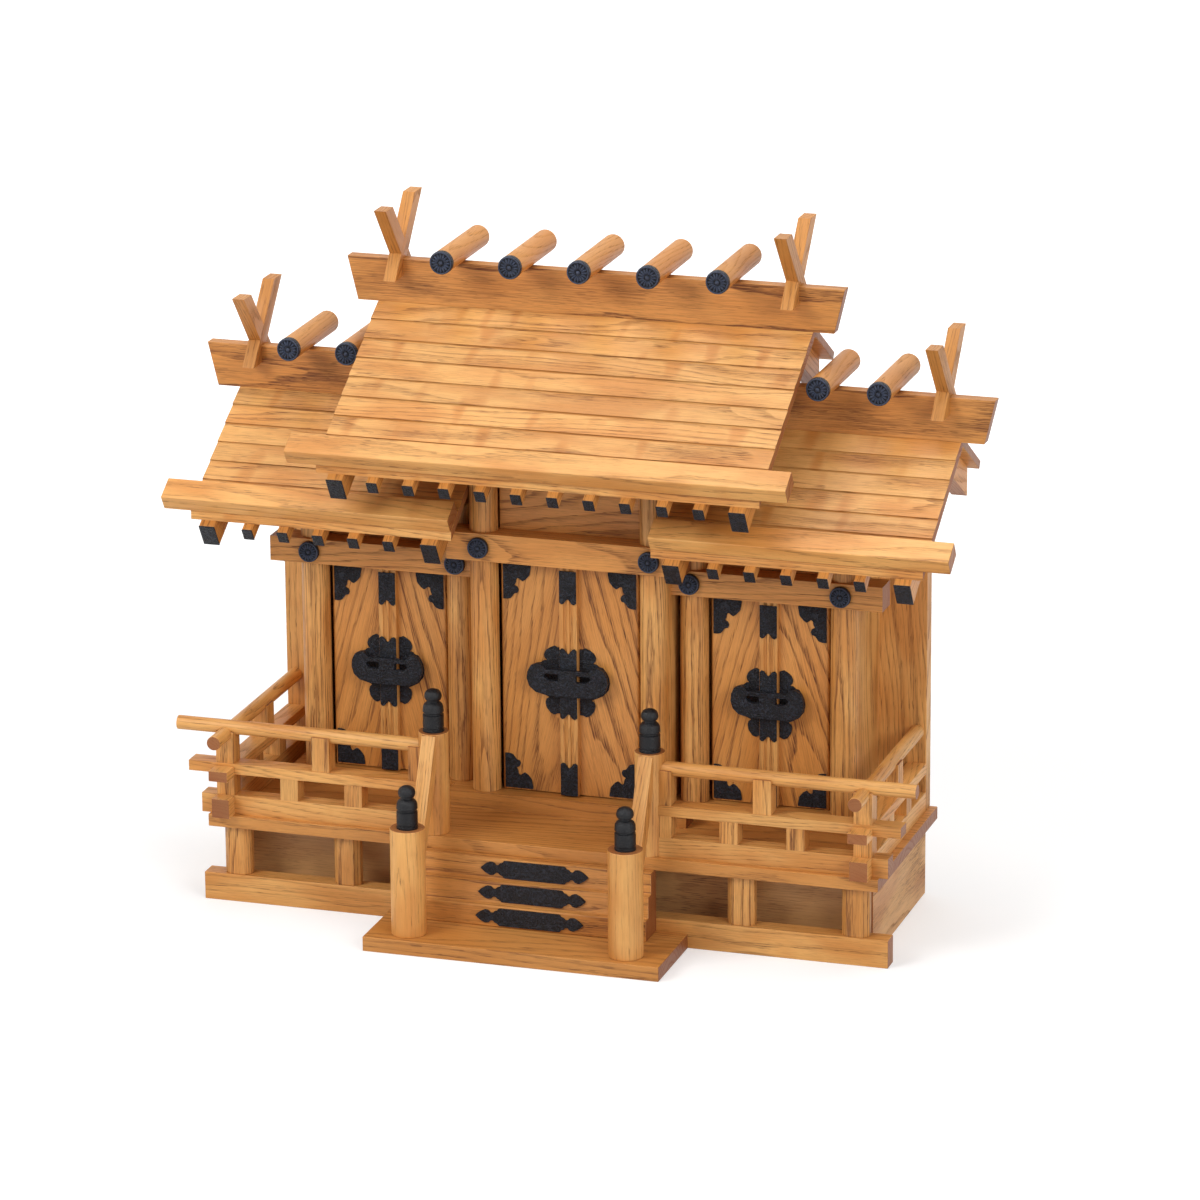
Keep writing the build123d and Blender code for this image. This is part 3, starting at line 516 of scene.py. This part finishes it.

# %% Woods by grain direction
# Doors, lintels, ridge, rafters, stair and floor take the deep wood, which carries painted shade.
door_wood = dict(taper=0.16, spread=50.0, warp=12.0, light=DEEP_AND_SHADED_WOOD)
rail_wood = dict(ring=2.8, contrast=0.4, warp=4.0)
KINDS_OF_WOOD = {
    "roof_board": (X, down_roof, off_roof,
                   dict(ring=2.3, contrast=0.55, taper=0.03, pith=70.0, warp=5.0, figured=0.9)),
    "rear_roof_board": (X, down_roof, off_roof, dict(ring=3.2, contrast=0.42, folds=True)),
    "eave_plank": (X, down_roof, off_roof, dict(ring=5.4, contrast=0.4, taper=0.06, pith=16.0)),
    "ridge_board": (X, Z, Y, dict(ring=2.1, contrast=1.0, taper=0.01, pith=140.0, spread=15.0,
                                  warp=2.5, shade=0.98, light=DEEP_AND_SHADED_WOOD)),
    "rafter": (down_roof, off_roof, X, dict(ring=2.4, contrast=0.5, folds=True, light=DEEP_AND_SHADED_WOOD)),
    "beam": (X, Z, Y, dict(ring=2.4, contrast=0.75, taper=0.04, pith=80.0, warp=5.0, light=DEEP_AND_SHADED_WOOD)),
    "stair_board": (X, Z, Y, dict(ring=2.2, contrast=0.8, taper=0.02, pith=90.0, warp=3.0,
                                  light=DEEP_AND_SHADED_WOOD)),
    "sill_board": (X, Z, Y, dict(ring=2.6, contrast=0.5, pith=60.0, warp=6.0, shade=1.03)),
    "post": (Z, X, Y, dict(ring=2.2, contrast=0.85, taper=0.015, pith=44.0, warp=4.0)),
    "plain_post": (Z, X, Y, dict(ring=2.6, contrast=0.26, taper=0.02, pith=34.0, warp=4.0)),
    "side_wall": (Z, Y, X, dict(ring=5.0, contrast=0.6, taper=0.12, pith=20.0, warp=12.0)),
    "left_leaf": (left_leaf, off_left_leaf, Y, dict(ring=6.4, contrast=0.68, pith=16.0, **door_wood)),
    "right_leaf": (right_leaf, off_right_leaf, Y, dict(ring=7.6, contrast=1.0, pith=14.0, **door_wood)),
    "batten": (Z, X, Y, dict(ring=2.2, contrast=0.45, warp=3.0)),
    "rail_across": (X, Y, Z, rail_wood),
    "rail_back": (Y, X, Z, rail_wood),
    "billet": (Y, X, Z, dict(ring=2.6, contrast=0.22, pith=40.0, shade=0.92, light=DEEP_AND_SHADED_WOOD)),
    "front_arm": (front_arm, off_front_arm, X, dict(ring=2.6, contrast=0.45, shade=0.85, light=DEEP_AND_SHADED_WOOD)),
    "rear_arm": (rear_arm, off_rear_arm, X, dict(ring=2.6, contrast=0.45, shade=0.9, light=DEEP_AND_SHADED_WOOD)),
    "stair_bar": (stair_bar, off_stair_bar, X, dict(ring=2.6, contrast=0.5)),
    "floor_board": (X, Y, Z, dict(ring=4.2, contrast=0.5, pith=20.0, shade=0.9, light=DEEP_AND_SHADED_WOOD)),
    "base_side": (Y, Z, X, dict(ring=3.0, contrast=0.55, taper=0.03, pith=90.0, warp=4.0)),
    "inner_panel": (X, Z, Y, dict(ring=3.4, contrast=0.45, shade=1.25, pith=80.0, warp=4.0,
                                  light=tone(196, 152, 100), honey=tone(176, 132, 84))),
}
woods = {name: wood(name, *directions, **looks) for name, (*directions, looks) in KINDS_OF_WOOD.items()}
print("woods", len(woods))

# %% [markdown]
# ## Softened copies
# A hand plane leaves a thin bevel on each edge, and light catches it. The frame's own meshes stay
# as they are, so each node is copied, its loose triangles are merged into whole faces, and its
# sharp edges are bevelled. Sharp edges could be picked by hand, but the angle between their faces
# finds them all.

# %% Copy and soften
EDGE_BEVEL = 0.45 * MM
SHARP = math.radians(28)
SMOOTH = math.radians(20)
FLAT = math.radians(0.6)
WELD = 0.002 * MM


def merged_copy(node):
    """The node's mesh with its triangles joined into whole flat faces."""
    bm = bmesh.new()
    bm.from_mesh(nodes[node].data)
    bmesh.ops.remove_doubles(bm, verts=bm.verts, dist=WELD)
    bmesh.ops.dissolve_limit(bm, angle_limit=FLAT, verts=bm.verts, edges=bm.edges)
    return bm


def soften(bm, width):
    sharp = [e for e in bm.edges if len(e.link_faces) == 2 and e.calc_face_angle(0) > SHARP]
    bmesh.ops.bevel(bm, geom=sharp, offset=width, offset_type="OFFSET", segments=2, profile=0.5,
                    affect="EDGES", clamp_overlap=True, material=-1)


def finish(bm, name, material, body, stands_for=()):
    """The bmesh as an object that rides on a body and stands for its CAD nodes."""
    mesh = bpy.data.meshes.new(name)
    for face in bm.faces:
        face.smooth = True
    bm.to_mesh(mesh)
    bm.free()
    mesh.set_sharp_from_angle(angle=SMOOTH)
    mesh.materials.append(material)
    piece = bpy.data.objects.new(name, mesh)
    bpy.context.scene.collection.objects.link(piece)
    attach(piece, body)
    if stands_for:
        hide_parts(*stands_for)
    return piece


print("bevel of", EDGE_BEVEL / MM, "mm")

# %% [markdown]
# ## Telling the boards apart
# One node can hold many boards, such as all the posts of the railing. Faces that hang together by
# their edges are one board. Each board gets a number and its own middle as attributes on the
# corners of its faces, because that is where the wood graph reads them.

# %% Boards of a node
SEED = 7
lots = random.Random(SEED)


def islands(bm):
    """Groups of faces that hang together, one for each board, from left to right."""
    left = set(bm.faces)
    found = []
    while left:
        group = [left.pop()]
        for face in group:
            for edge in face.edges:
                for near in edge.link_faces:
                    if near in left:
                        left.remove(near)
                        group.append(near)
        found.append(group)

    def place(group):
        total = sum((face.calc_center_median() for face in group), Vector())
        return tuple(round(c, 5) for c in total / len(group))

    return sorted(found, key=place)


def span(group):
    """The low and the high corner of the box round a group of faces."""
    points = [v.co for face in group for v in face.verts]
    return Vector(map(min, *points)), Vector(map(max, *points))


def solids(node):
    """The low and the high corner of each solid in a node."""
    bm = merged_copy(node)
    found = [span(group) for group in islands(bm)]
    bm.free()
    return found


def mark_boards(bm, groups, ridge):
    """Each board's number and middle, on the corners of its faces."""
    number = bm.loops.layers.float.new("board")
    middle = bm.loops.layers.float_vector.new("middle")
    for group in groups:
        own = lots.random()
        low, high = span(group)
        center = (low + high) / 2
        if ridge:
            center.y = RIDGE_Y
        for face in group:
            for corner in face.loops:
                corner[number] = own
                corner[middle] = center


print("posts in the railing", len(solids("railing_struts")))

# %% [markdown]
# ## The stepped roofs
# The front slopes are overlapping boards, each proud of the next, and every board came from
# another part of the plank. The solid is one stepped slab, so its faces are sorted into courses
# by how far they lie from the ridge, and each course then counts as a board of its own. A dark
# slot is sunk under every proud edge, because real boards never close up fully there.

# %% Shadow gaps
GAP_MARGIN = 0.15 * MM
GAP_DEPTH = 4.0 * MM
STEP_FACING = -0.8
STEP_HEIGHT = 0.9 * MM


def shadow_gaps(bm):
    """A narrow slot under the proud edge of each roof board, where it stands off the next."""
    largest = STEP_HEIGHT * (cad_high.x - cad_low.x)
    steps = [f for f in bm.faces if f.normal.y < STEP_FACING and f.calc_area() < largest]
    bmesh.ops.inset_individual(bm, faces=steps, thickness=GAP_MARGIN, use_even_offset=True)
    pushed = bmesh.ops.extrude_discrete_faces(bm, faces=steps)["faces"]
    bmesh.ops.translate(bm, verts=[v for f in pushed for v in f.verts], vec=Vector(down_roof) * GAP_DEPTH)
    print("shadow gaps", len(steps))


def timber(node, material, width=EDGE_BEVEL, courses=None, ridge=False):
    """A softened copy of one wooden node. Courses split a stepped slab into its boards."""
    bm = merged_copy(node)
    if courses:
        shadow_gaps(bm)
    soften(bm, width)
    groups = islands(bm)
    if courses:
        groups = [part for group in groups for part in courses(group)]
    mark_boards(bm, groups, ridge)
    return finish(bm, node + "_timber", woods[material], body_of_node[node], [node])


print("gaps of", GAP_DEPTH / MM, "mm")

# %% Roof boards
ROOF_BEVEL = 0.3 * MM
PLANK_BEVEL = 0.7 * MM
RIDGE_COVER = 5.0
CENTER_COURSE = 15.8
SIDE_COURSE = 15.4
CENTER_STEPS = [(RIDGE_COVER + CENTER_COURSE * i) * MM for i in range(8)]
SIDE_STEPS = [(RIDGE_COVER + SIDE_COURSE * i) * MM for i in range(6)]
STEP_MARGIN = 0.1 * MM


def by_course(steps):
    """A splitter that sorts a slab's faces by their distance in front of the ridge."""
    def split(group):
        rows = {}
        for face in group:
            reach = RIDGE_Y - face.calc_center_median().y
            row = sum(reach > step + STEP_MARGIN for step in steps)
            rows.setdefault(row, []).append(face)
        return [rows[key] for key in sorted(rows)]
    return split


timber("roof_front_center", "roof_board", ROOF_BEVEL, by_course(CENTER_STEPS))
timber("roof_front_sides", "roof_board", ROOF_BEVEL, by_course(SIDE_STEPS))
for node in ("roof_rear_center", "roof_rear_sides"):
    timber(node, "rear_roof_board", ridge=True)
for node in ("eave_plank_center", "eave_planks_side"):
    timber(node, "eave_plank", PLANK_BEVEL)
print("courses", len(CENTER_STEPS), "and", len(SIDE_STEPS))

# %% [markdown]
# ## All other timber
# The rest needs no sorting: each separate solid is one board. The list names what wood each takes,
# and the doors and their battens follow in a loop over the three shrines. The stair's boards get a
# wider bevel, because their meeting edges read as dark lines.

# %% Other timber
STAIR_BEVEL = 0.9 * MM
LEAF_BEVEL = 0.3 * MM
BATTEN_BEVEL = 0.25 * MM
WOOD_OF_NODE = {
    "ridge_board_center": "ridge_board", "ridge_boards_side": "ridge_board",
    "center_lintel": "beam", "side_lintels": "beam", "transom_panels": "beam",
    "center_columns": "post", "side_columns": "post", "upper_posts": "post", "newel_posts": "plain_post",
    "front_legs": "post", "railing_struts": "post", "shrine_walls": "side_wall", "back_board": "side_wall",
    "front_rails": "rail_across", "side_rails": "rail_back", "ridge_billets": "billet",
    "finial_front_arms": "front_arm", "finial_rear_arms": "rear_arm", "stair_rails": "stair_bar",
    "balcony_floor": "floor_board", "shrine_threshold": "floor_board", "stair_platform": "floor_board",
    "stair_steps": "stair_board", "base_sill": "sill_board", "base_sides": "base_side",
    "base_cross_boards": "inner_panel",
}
for node, material in WOOD_OF_NODE.items():
    timber(node, material, STAIR_BEVEL if node == "stair_steps" else EDGE_BEVEL)
for node in ("center_rafters", "side_rafters", "barge_boards"):
    timber(node, "rafter", ridge=True)
for shrine in SHRINES:
    timber(f"{shrine}_door_left", "left_leaf", LEAF_BEVEL)
    timber(f"{shrine}_door_right", "right_leaf", LEAF_BEVEL)
    timber(f"{shrine}_batten", "batten", BATTEN_BEVEL)

# %% [markdown]
# ## Black iron
# The fittings are thin iron sheet, blackened and waxed, with a ground that was struck all over
# with small punches. Real dents could be modelled, but there are thousands of them, so the graph
# raises a fine bump, and the sheen is broken by it as on the real plates.

# %% Iron graph
PUNCH_SIZE = 1.1
SCROLL_SIZE = 3.0
SCROLL_SWIRL = 2.5
SCROLL_EDGE = (0.44, 0.56)
# Share of the scrolls' lighter colour, partly rubbed wear and partly painted highlight.
SCROLL_RUB_AND_SHEEN = 0.55
SCROLL_HEIGHT = 1.3
DENT_HEIGHT = 0.7
GRIT_HEIGHT = 0.5
GRIT_SCALE = 2.6
WEAR_AND_SHEEN_SCALE = 0.35
WEAR_AND_SHEEN_RANGE = (0.3, 0.7)
RELIEF = 0.7 * MM
IRON_ROUGHNESS = (0.3, 0.46)
IRON_SPECULAR = 0.3
BLACK_TONE = tone(6, 6, 8)
# Lighter bluish colour on the raised scrolls: partly rubbed wear, partly painted highlight.
RUBBED_AND_SHEEN_TONE = tone(52, 58, 72)


def black_iron(name, punch=1.0, engraved=0.0, wear_and_sheen_tone=tone(18, 19, 24)):
    """Blackened sheet with a punched ground and patches of a second tone; engraved adds scrolls that are cut
    into it, with a lighter bluish colour on them that is partly rubbed wear and partly painted highlight.
    """
    material, tree = new_material(name)
    place = add(tree, "ShaderNodeTexCoord").outputs["Object"]
    point = vector_math(tree, "SCALE", {0: place, "Scale": 1 / MM})

    def noise(scale, detail, distortion=0.0):
        inputs = {"Vector": point, "Scale": scale, "Detail": detail, "Distortion": distortion}
        return add(tree, "ShaderNodeTexNoise", inputs).outputs["Fac"]

    dents = add(tree, "ShaderNodeTexVoronoi", {"Vector": point, "Scale": 1 / PUNCH_SIZE}).outputs["Distance"]
    scrolls = between(tree, noise(1 / SCROLL_SIZE, 1.0, SCROLL_SWIRL), *SCROLL_EDGE)
    wear_and_sheen = noise(WEAR_AND_SHEEN_SCALE, 4.0)
    grit = noise(GRIT_SCALE, 2.0)
    # Patches of the second tone: real wear where that tone is dark, painted sheen where it is light and
    # bluish.
    color = blend_colors(tree, wear_and_sheen, BLACK_TONE, wear_and_sheen_tone)
    # The raised scrolls get the lighter bluish colour: partly rubbed wear, partly painted highlight.
    color = blend_colors(tree, times(tree, scrolls, SCROLL_RUB_AND_SHEEN * engraved), color, RUBBED_AND_SHEEN_TONE)
    height = plus(tree, times(tree, dents, DENT_HEIGHT * punch), times(tree, grit, GRIT_HEIGHT * punch),
                  times(tree, scrolls, SCROLL_HEIGHT * engraved))
    bump = add(tree, "ShaderNodeBump", {"Height": height, "Strength": 1.0, "Distance": RELIEF})
    rough = between(tree, wear_and_sheen, *WEAR_AND_SHEEN_RANGE, *IRON_ROUGHNESS)
    surface(tree, {"Base Color": color, "Roughness": rough, "Normal": bump.outputs[0],
                   "Specular IOR Level": IRON_SPECULAR})
    return material


plate_iron = black_iron("plate_iron", engraved=0.8)
smooth_iron = black_iron("smooth_iron", punch=0.5)
# The flowers' iron has light bluish patches of painted sheen, so that the small petals show.
painted_sheen_iron = black_iron("painted_sheen_iron", punch=0.3, wear_and_sheen_tone=tone(70, 80, 104))
print("iron ready")

# %% [markdown]
# ## Rounded copies of the plain fittings
# The locks, the caps on the rafters and the discs are cut or cast, and files have taken their
# edges down. They get the same softened copies as the timber, with more bevel on the thick locks.

# %% Softened iron
CAP_BEVEL = 0.5 * MM
LOCK_BEVEL = 0.6 * MM


def softened_iron(node, width):
    bm = merged_copy(node)
    soften(bm, width)
    return finish(bm, node + "_iron", plate_iron, body_of_node[node], [node])


for node in ("rafter_caps", "lintel_caps", "billet_caps"):
    softened_iron(node, CAP_BEVEL)
for shrine in SHRINES:
    softened_iron(f"{shrine}_lock", LOCK_BEVEL)

# %% [markdown]
# ## Flowers on the discs
# The discs on the billets and on the beam ends carry a chrysanthemum with sixteen petals. One
# flattened sphere makes a petal, a loop sets sixteen of them round the middle, and a small circle
# spun round the disc's axis makes the raised rim.

# %% Chrysanthemum discs
PETALS = 16
PETAL_PLACE = 0.55
PETAL_LENGTH = 0.28
PETAL_WIDTH = 0.095
PETAL_HEIGHT = 0.9 * MM
BOSS_RADIUS = 0.18
BOSS_HEIGHT = 1.1 * MM
RIM_WIRE = 0.6 * MM
RIM_INSET = 1.3
SPIN_STEPS = 40
SEAM = 0.001 * MM


def spin_round(bm, outline, center, axis):
    """An outline of points and edges turned once round an axis through the center."""
    bmesh.ops.spin(bm, geom=outline, cent=center, axis=axis, angle=2 * math.pi, steps=SPIN_STEPS,
                   use_merge=True)


def close_seams(bm):
    bmesh.ops.remove_doubles(bm, verts=bm.verts, dist=SEAM)
    bmesh.ops.recalc_face_normals(bm, faces=bm.faces)


def flower(bm, center, radius):
    """Petals, a boss and a rim on a disc that faces the front."""
    middle = Matrix.Translation(center)
    petal = Matrix.Translation((PETAL_PLACE * radius, 0, 0)) @ Matrix.Diagonal(
        (PETAL_LENGTH * radius, PETAL_HEIGHT, PETAL_WIDTH * radius, 1))
    for i in range(PETALS):
        place = middle @ Matrix.Rotation(2 * math.pi * i / PETALS, 4, "Y") @ petal
        bmesh.ops.create_uvsphere(bm, u_segments=8, v_segments=5, radius=1, matrix=place)
    boss = middle @ Matrix.Diagonal((BOSS_RADIUS * radius, BOSS_HEIGHT, BOSS_RADIUS * radius, 1))
    bmesh.ops.create_uvsphere(bm, u_segments=12, v_segments=6, radius=1, matrix=boss)
    wire_place = Matrix.Translation(center + Vector((radius - RIM_INSET * RIM_WIRE, 0, 0)))
    wire = bmesh.ops.create_circle(bm, segments=8, radius=RIM_WIRE, matrix=wire_place)["verts"]
    spin_round(bm, wire + list({edge for vert in wire for edge in vert.link_edges}), center, Y)


def disc_flowers(node):
    """A flower on the front of every disc of a node."""
    bm = bmesh.new()
    for low, high in solids(node):
        flower(bm, Vector(((low.x + high.x) / 2, low.y, (low.z + high.z) / 2)), (high.x - low.x) / 2)
    close_seams(bm)
    return finish(bm, node + "_flowers", painted_sheen_iron, body_of_node[node])


for node in ("billet_caps", "lintel_caps"):
    disc_flowers(node)
print("flowers with", PETALS, "petals")

# %% [markdown]
# ## Onion caps on the newel posts
# A cap is a sleeve with two bands, a shoulder, a neck and a ball that ends in a point. It is
# turned work, so the natural way is to draw half of its outline and spin it round the post.

# %% Onion caps
# Radius and height of each turn in the outline, in millimetres from the foot.
CAP_PROFILE = [(0, 0), (7.5, 0), (7.5, 1.6), (7.0, 2.0), (7.0, 2.8), (7.4, 3.2), (7.3, 11.9),
               (6.4, 12.5), (6.4, 13.5), (7.4, 14.2), (7.1, 17.8), (6.5, 19.3), (5.4, 20.5),
               (4.2, 21.3), (4.2, 22.1), (5.4, 22.9), (6.0, 24.4), (6.1, 25.8), (5.7, 27.4),
               (4.9, 28.7), (3.6, 29.7), (1.8, 30.4), (0, 30.8)]


def turned_caps():
    bm = bmesh.new()
    for low, high in solids("newel_caps"):
        foot = Vector(((low.x + high.x) / 2, (low.y + high.y) / 2, low.z))
        outline = [bm.verts.new(foot + Vector((radius, 0, height)) * MM) for radius, height in CAP_PROFILE]
        edges = [bm.edges.new(pair) for pair in zip(outline, outline[1:])]
        spin_round(bm, outline + edges, foot, Z)
    close_seams(bm)
    return finish(bm, "newel_caps_turned", smooth_iron, "cabinet", ["newel_caps"])


turned_caps()
print("cap outline points", len(CAP_PROFILE))

# %% [markdown]
# ## Plates cut from sheet
# Corner plates, lock wings and step plates are cut from sheet. A plate starts as one face with the
# few corners of its outline; bevelling those corners rounds the lobes, and extruding gives the
# thickness. A long list of points round each curve would do the same and be harder to change.

# %% Plate helper
SHEET = 0.8
LOBE_ROUND = 0.5
STEP_ROUND = 0.7


def cut_plate(bm, outline, place, flip_x=1, flip_z=1, thickness=SHEET, corner=LOBE_ROUND):
    """A plate that faces the front; outline in millimetres from a place on its back."""
    points = [bm.verts.new(place + Vector((x * flip_x, 0, z * flip_z)) * MM) for x, z in outline]
    before = set(bm.faces)
    bm.faces.new(points)
    bmesh.ops.bevel(bm, geom=points, offset=corner * MM, offset_type="OFFSET", segments=3, profile=0.5,
                    affect="VERTICES", clamp_overlap=True, material=-1)
    face = next(f for f in bm.faces if f not in before)
    lifted = bmesh.ops.extrude_face_region(bm, geom=[face])["geom"]
    bmesh.ops.translate(bm, verts=[v for v in lifted if isinstance(v, bmesh.types.BMVert)],
                        vec=Vector((0, -thickness, 0)) * MM)
    bmesh.ops.recalc_face_normals(bm, faces=[f for f in bm.faces if f not in before])


print("sheet of", SHEET, "mm")

# %% [markdown]
# ## Plates on the stair
# Each riser carries a long plate with a knob at both ends. One quarter of its outline says it all:
# the other three are its mirror images.

# %% Step plates
# Distance from the middle and height of each corner in a quarter of the plate, in millimetres.
STEP_QUARTER = [(22.2, 6.4), (23.4, 4.6), (25.2, 4.3), (26.4, 2.7), (28.0, 2.7), (29.4, 4.5),
                (32.4, 4.9), (35.8, 3.1), (39.4, 0)]
right_half = STEP_QUARTER + [(x, -z) for x, z in reversed(STEP_QUARTER[:-1])]
step_outline = right_half + [(-x, z) for x, z in reversed(right_half)]


def step_plates():
    bm = bmesh.new()
    for low, high in solids("step_plates"):
        back = Vector(((low.x + high.x) / 2, high.y, (low.z + high.z) / 2))
        cut_plate(bm, step_outline, back, thickness=(high.y - low.y) / MM, corner=STEP_ROUND)
    return finish(bm, "step_plates_cut", plate_iron, "cabinet", ["step_plates"])


step_plates()
print("corners of a step plate", len(step_outline))

# %% [markdown]
# ## Plates on the doors
# Every leaf has a lobed plate at the top and the bottom of its hinge side, and one wing of the
# lock's back plate at its inner edge. The left and the right leaf are mirror images, so one
# function flips the same outlines. The side shrines have narrower locks than the centre one.

# %% Door plates
# Distance from the hinge side and from the leaf's end, then from the doors' middle and the lock's.
CORNER_PLATE = [(0, 0), (20.4, 0), (20.4, 1.5), (19.4, 7), (16.6, 10.3), (14.3, 11.8), (12.6, 10.6),
                (11, 9.4), (9.8, 10.4), (9.4, 13.2), (8.2, 15), (10.4, 16), (11.4, 18.2), (10.6, 20.4),
                (8.4, 20.8), (7.2, 22.4), (5.6, 24.6), (3, 25.3), (0, 25.3)]
LOCK_WING = [(9.2, 25.0), (11.4, 26.0), (14.6, 24.6), (17.6, 22.4), (19.1, 19.2), (18.6, 16.8),
             (16.7, 15.0), (19.4, 14.8), (21.4, 13.0), (23.8, 12.7), (26.4, 9.6), (28.3, 6.0),
             (29.2, 1.5), (28.0, -3.6), (24.0, -8.0), (18.6, -10.6), (15.3, -12.0), (17.6, -13.4),
             (18.3, -16.0), (17.4, -20.0), (14.6, -23.4), (11.7, -24.6), (9.2, -23.4)]
LOCK_HEIGHTS = {"left": 152.0, "center": 161.0, "right": 152.0}
LOCK_WIDTHS = {"left": 0.88, "center": 1.0, "right": 0.88}


def wing_outline(shrine, inner):
    """The wing of one lock, closed off at the leaf's inner edge."""
    lobes = [(x * LOCK_WIDTHS[shrine], z) for x, z in LOCK_WING]
    return [(inner, LOCK_WING[0][1])] + lobes + [(inner, LOCK_WING[-1][1])]


def door_plates(shrine, side):
    """Two corner plates and one lock wing on a leaf."""
    node = f"{shrine}_fittings_{side}"
    low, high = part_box(node)
    lock_low, lock_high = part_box(f"{shrine}_lock")
    way = 1 if side == "left" else -1
    hinge_x, inner_x = (low.x, high.x) if side == "left" else (high.x, low.x)
    middle_x = (lock_low.x + lock_high.x) / 2
    bm = bmesh.new()
    cut_plate(bm, CORNER_PLATE, Vector((hinge_x, high.y, high.z)), way, -1)
    cut_plate(bm, CORNER_PLATE, Vector((hinge_x, high.y, low.z)), way, 1)
    wing = wing_outline(shrine, abs(inner_x - middle_x) / MM)
    cut_plate(bm, wing, Vector((middle_x, high.y, LOCK_HEIGHTS[shrine] * MM)), -way, 1)
    return finish(bm, node + "_cut", plate_iron, body_of_node[node], [node])


leaves = [door_plates(shrine, side) for shrine in SHRINES for side in ("left", "right")]
print("leaves with plates", len(leaves))
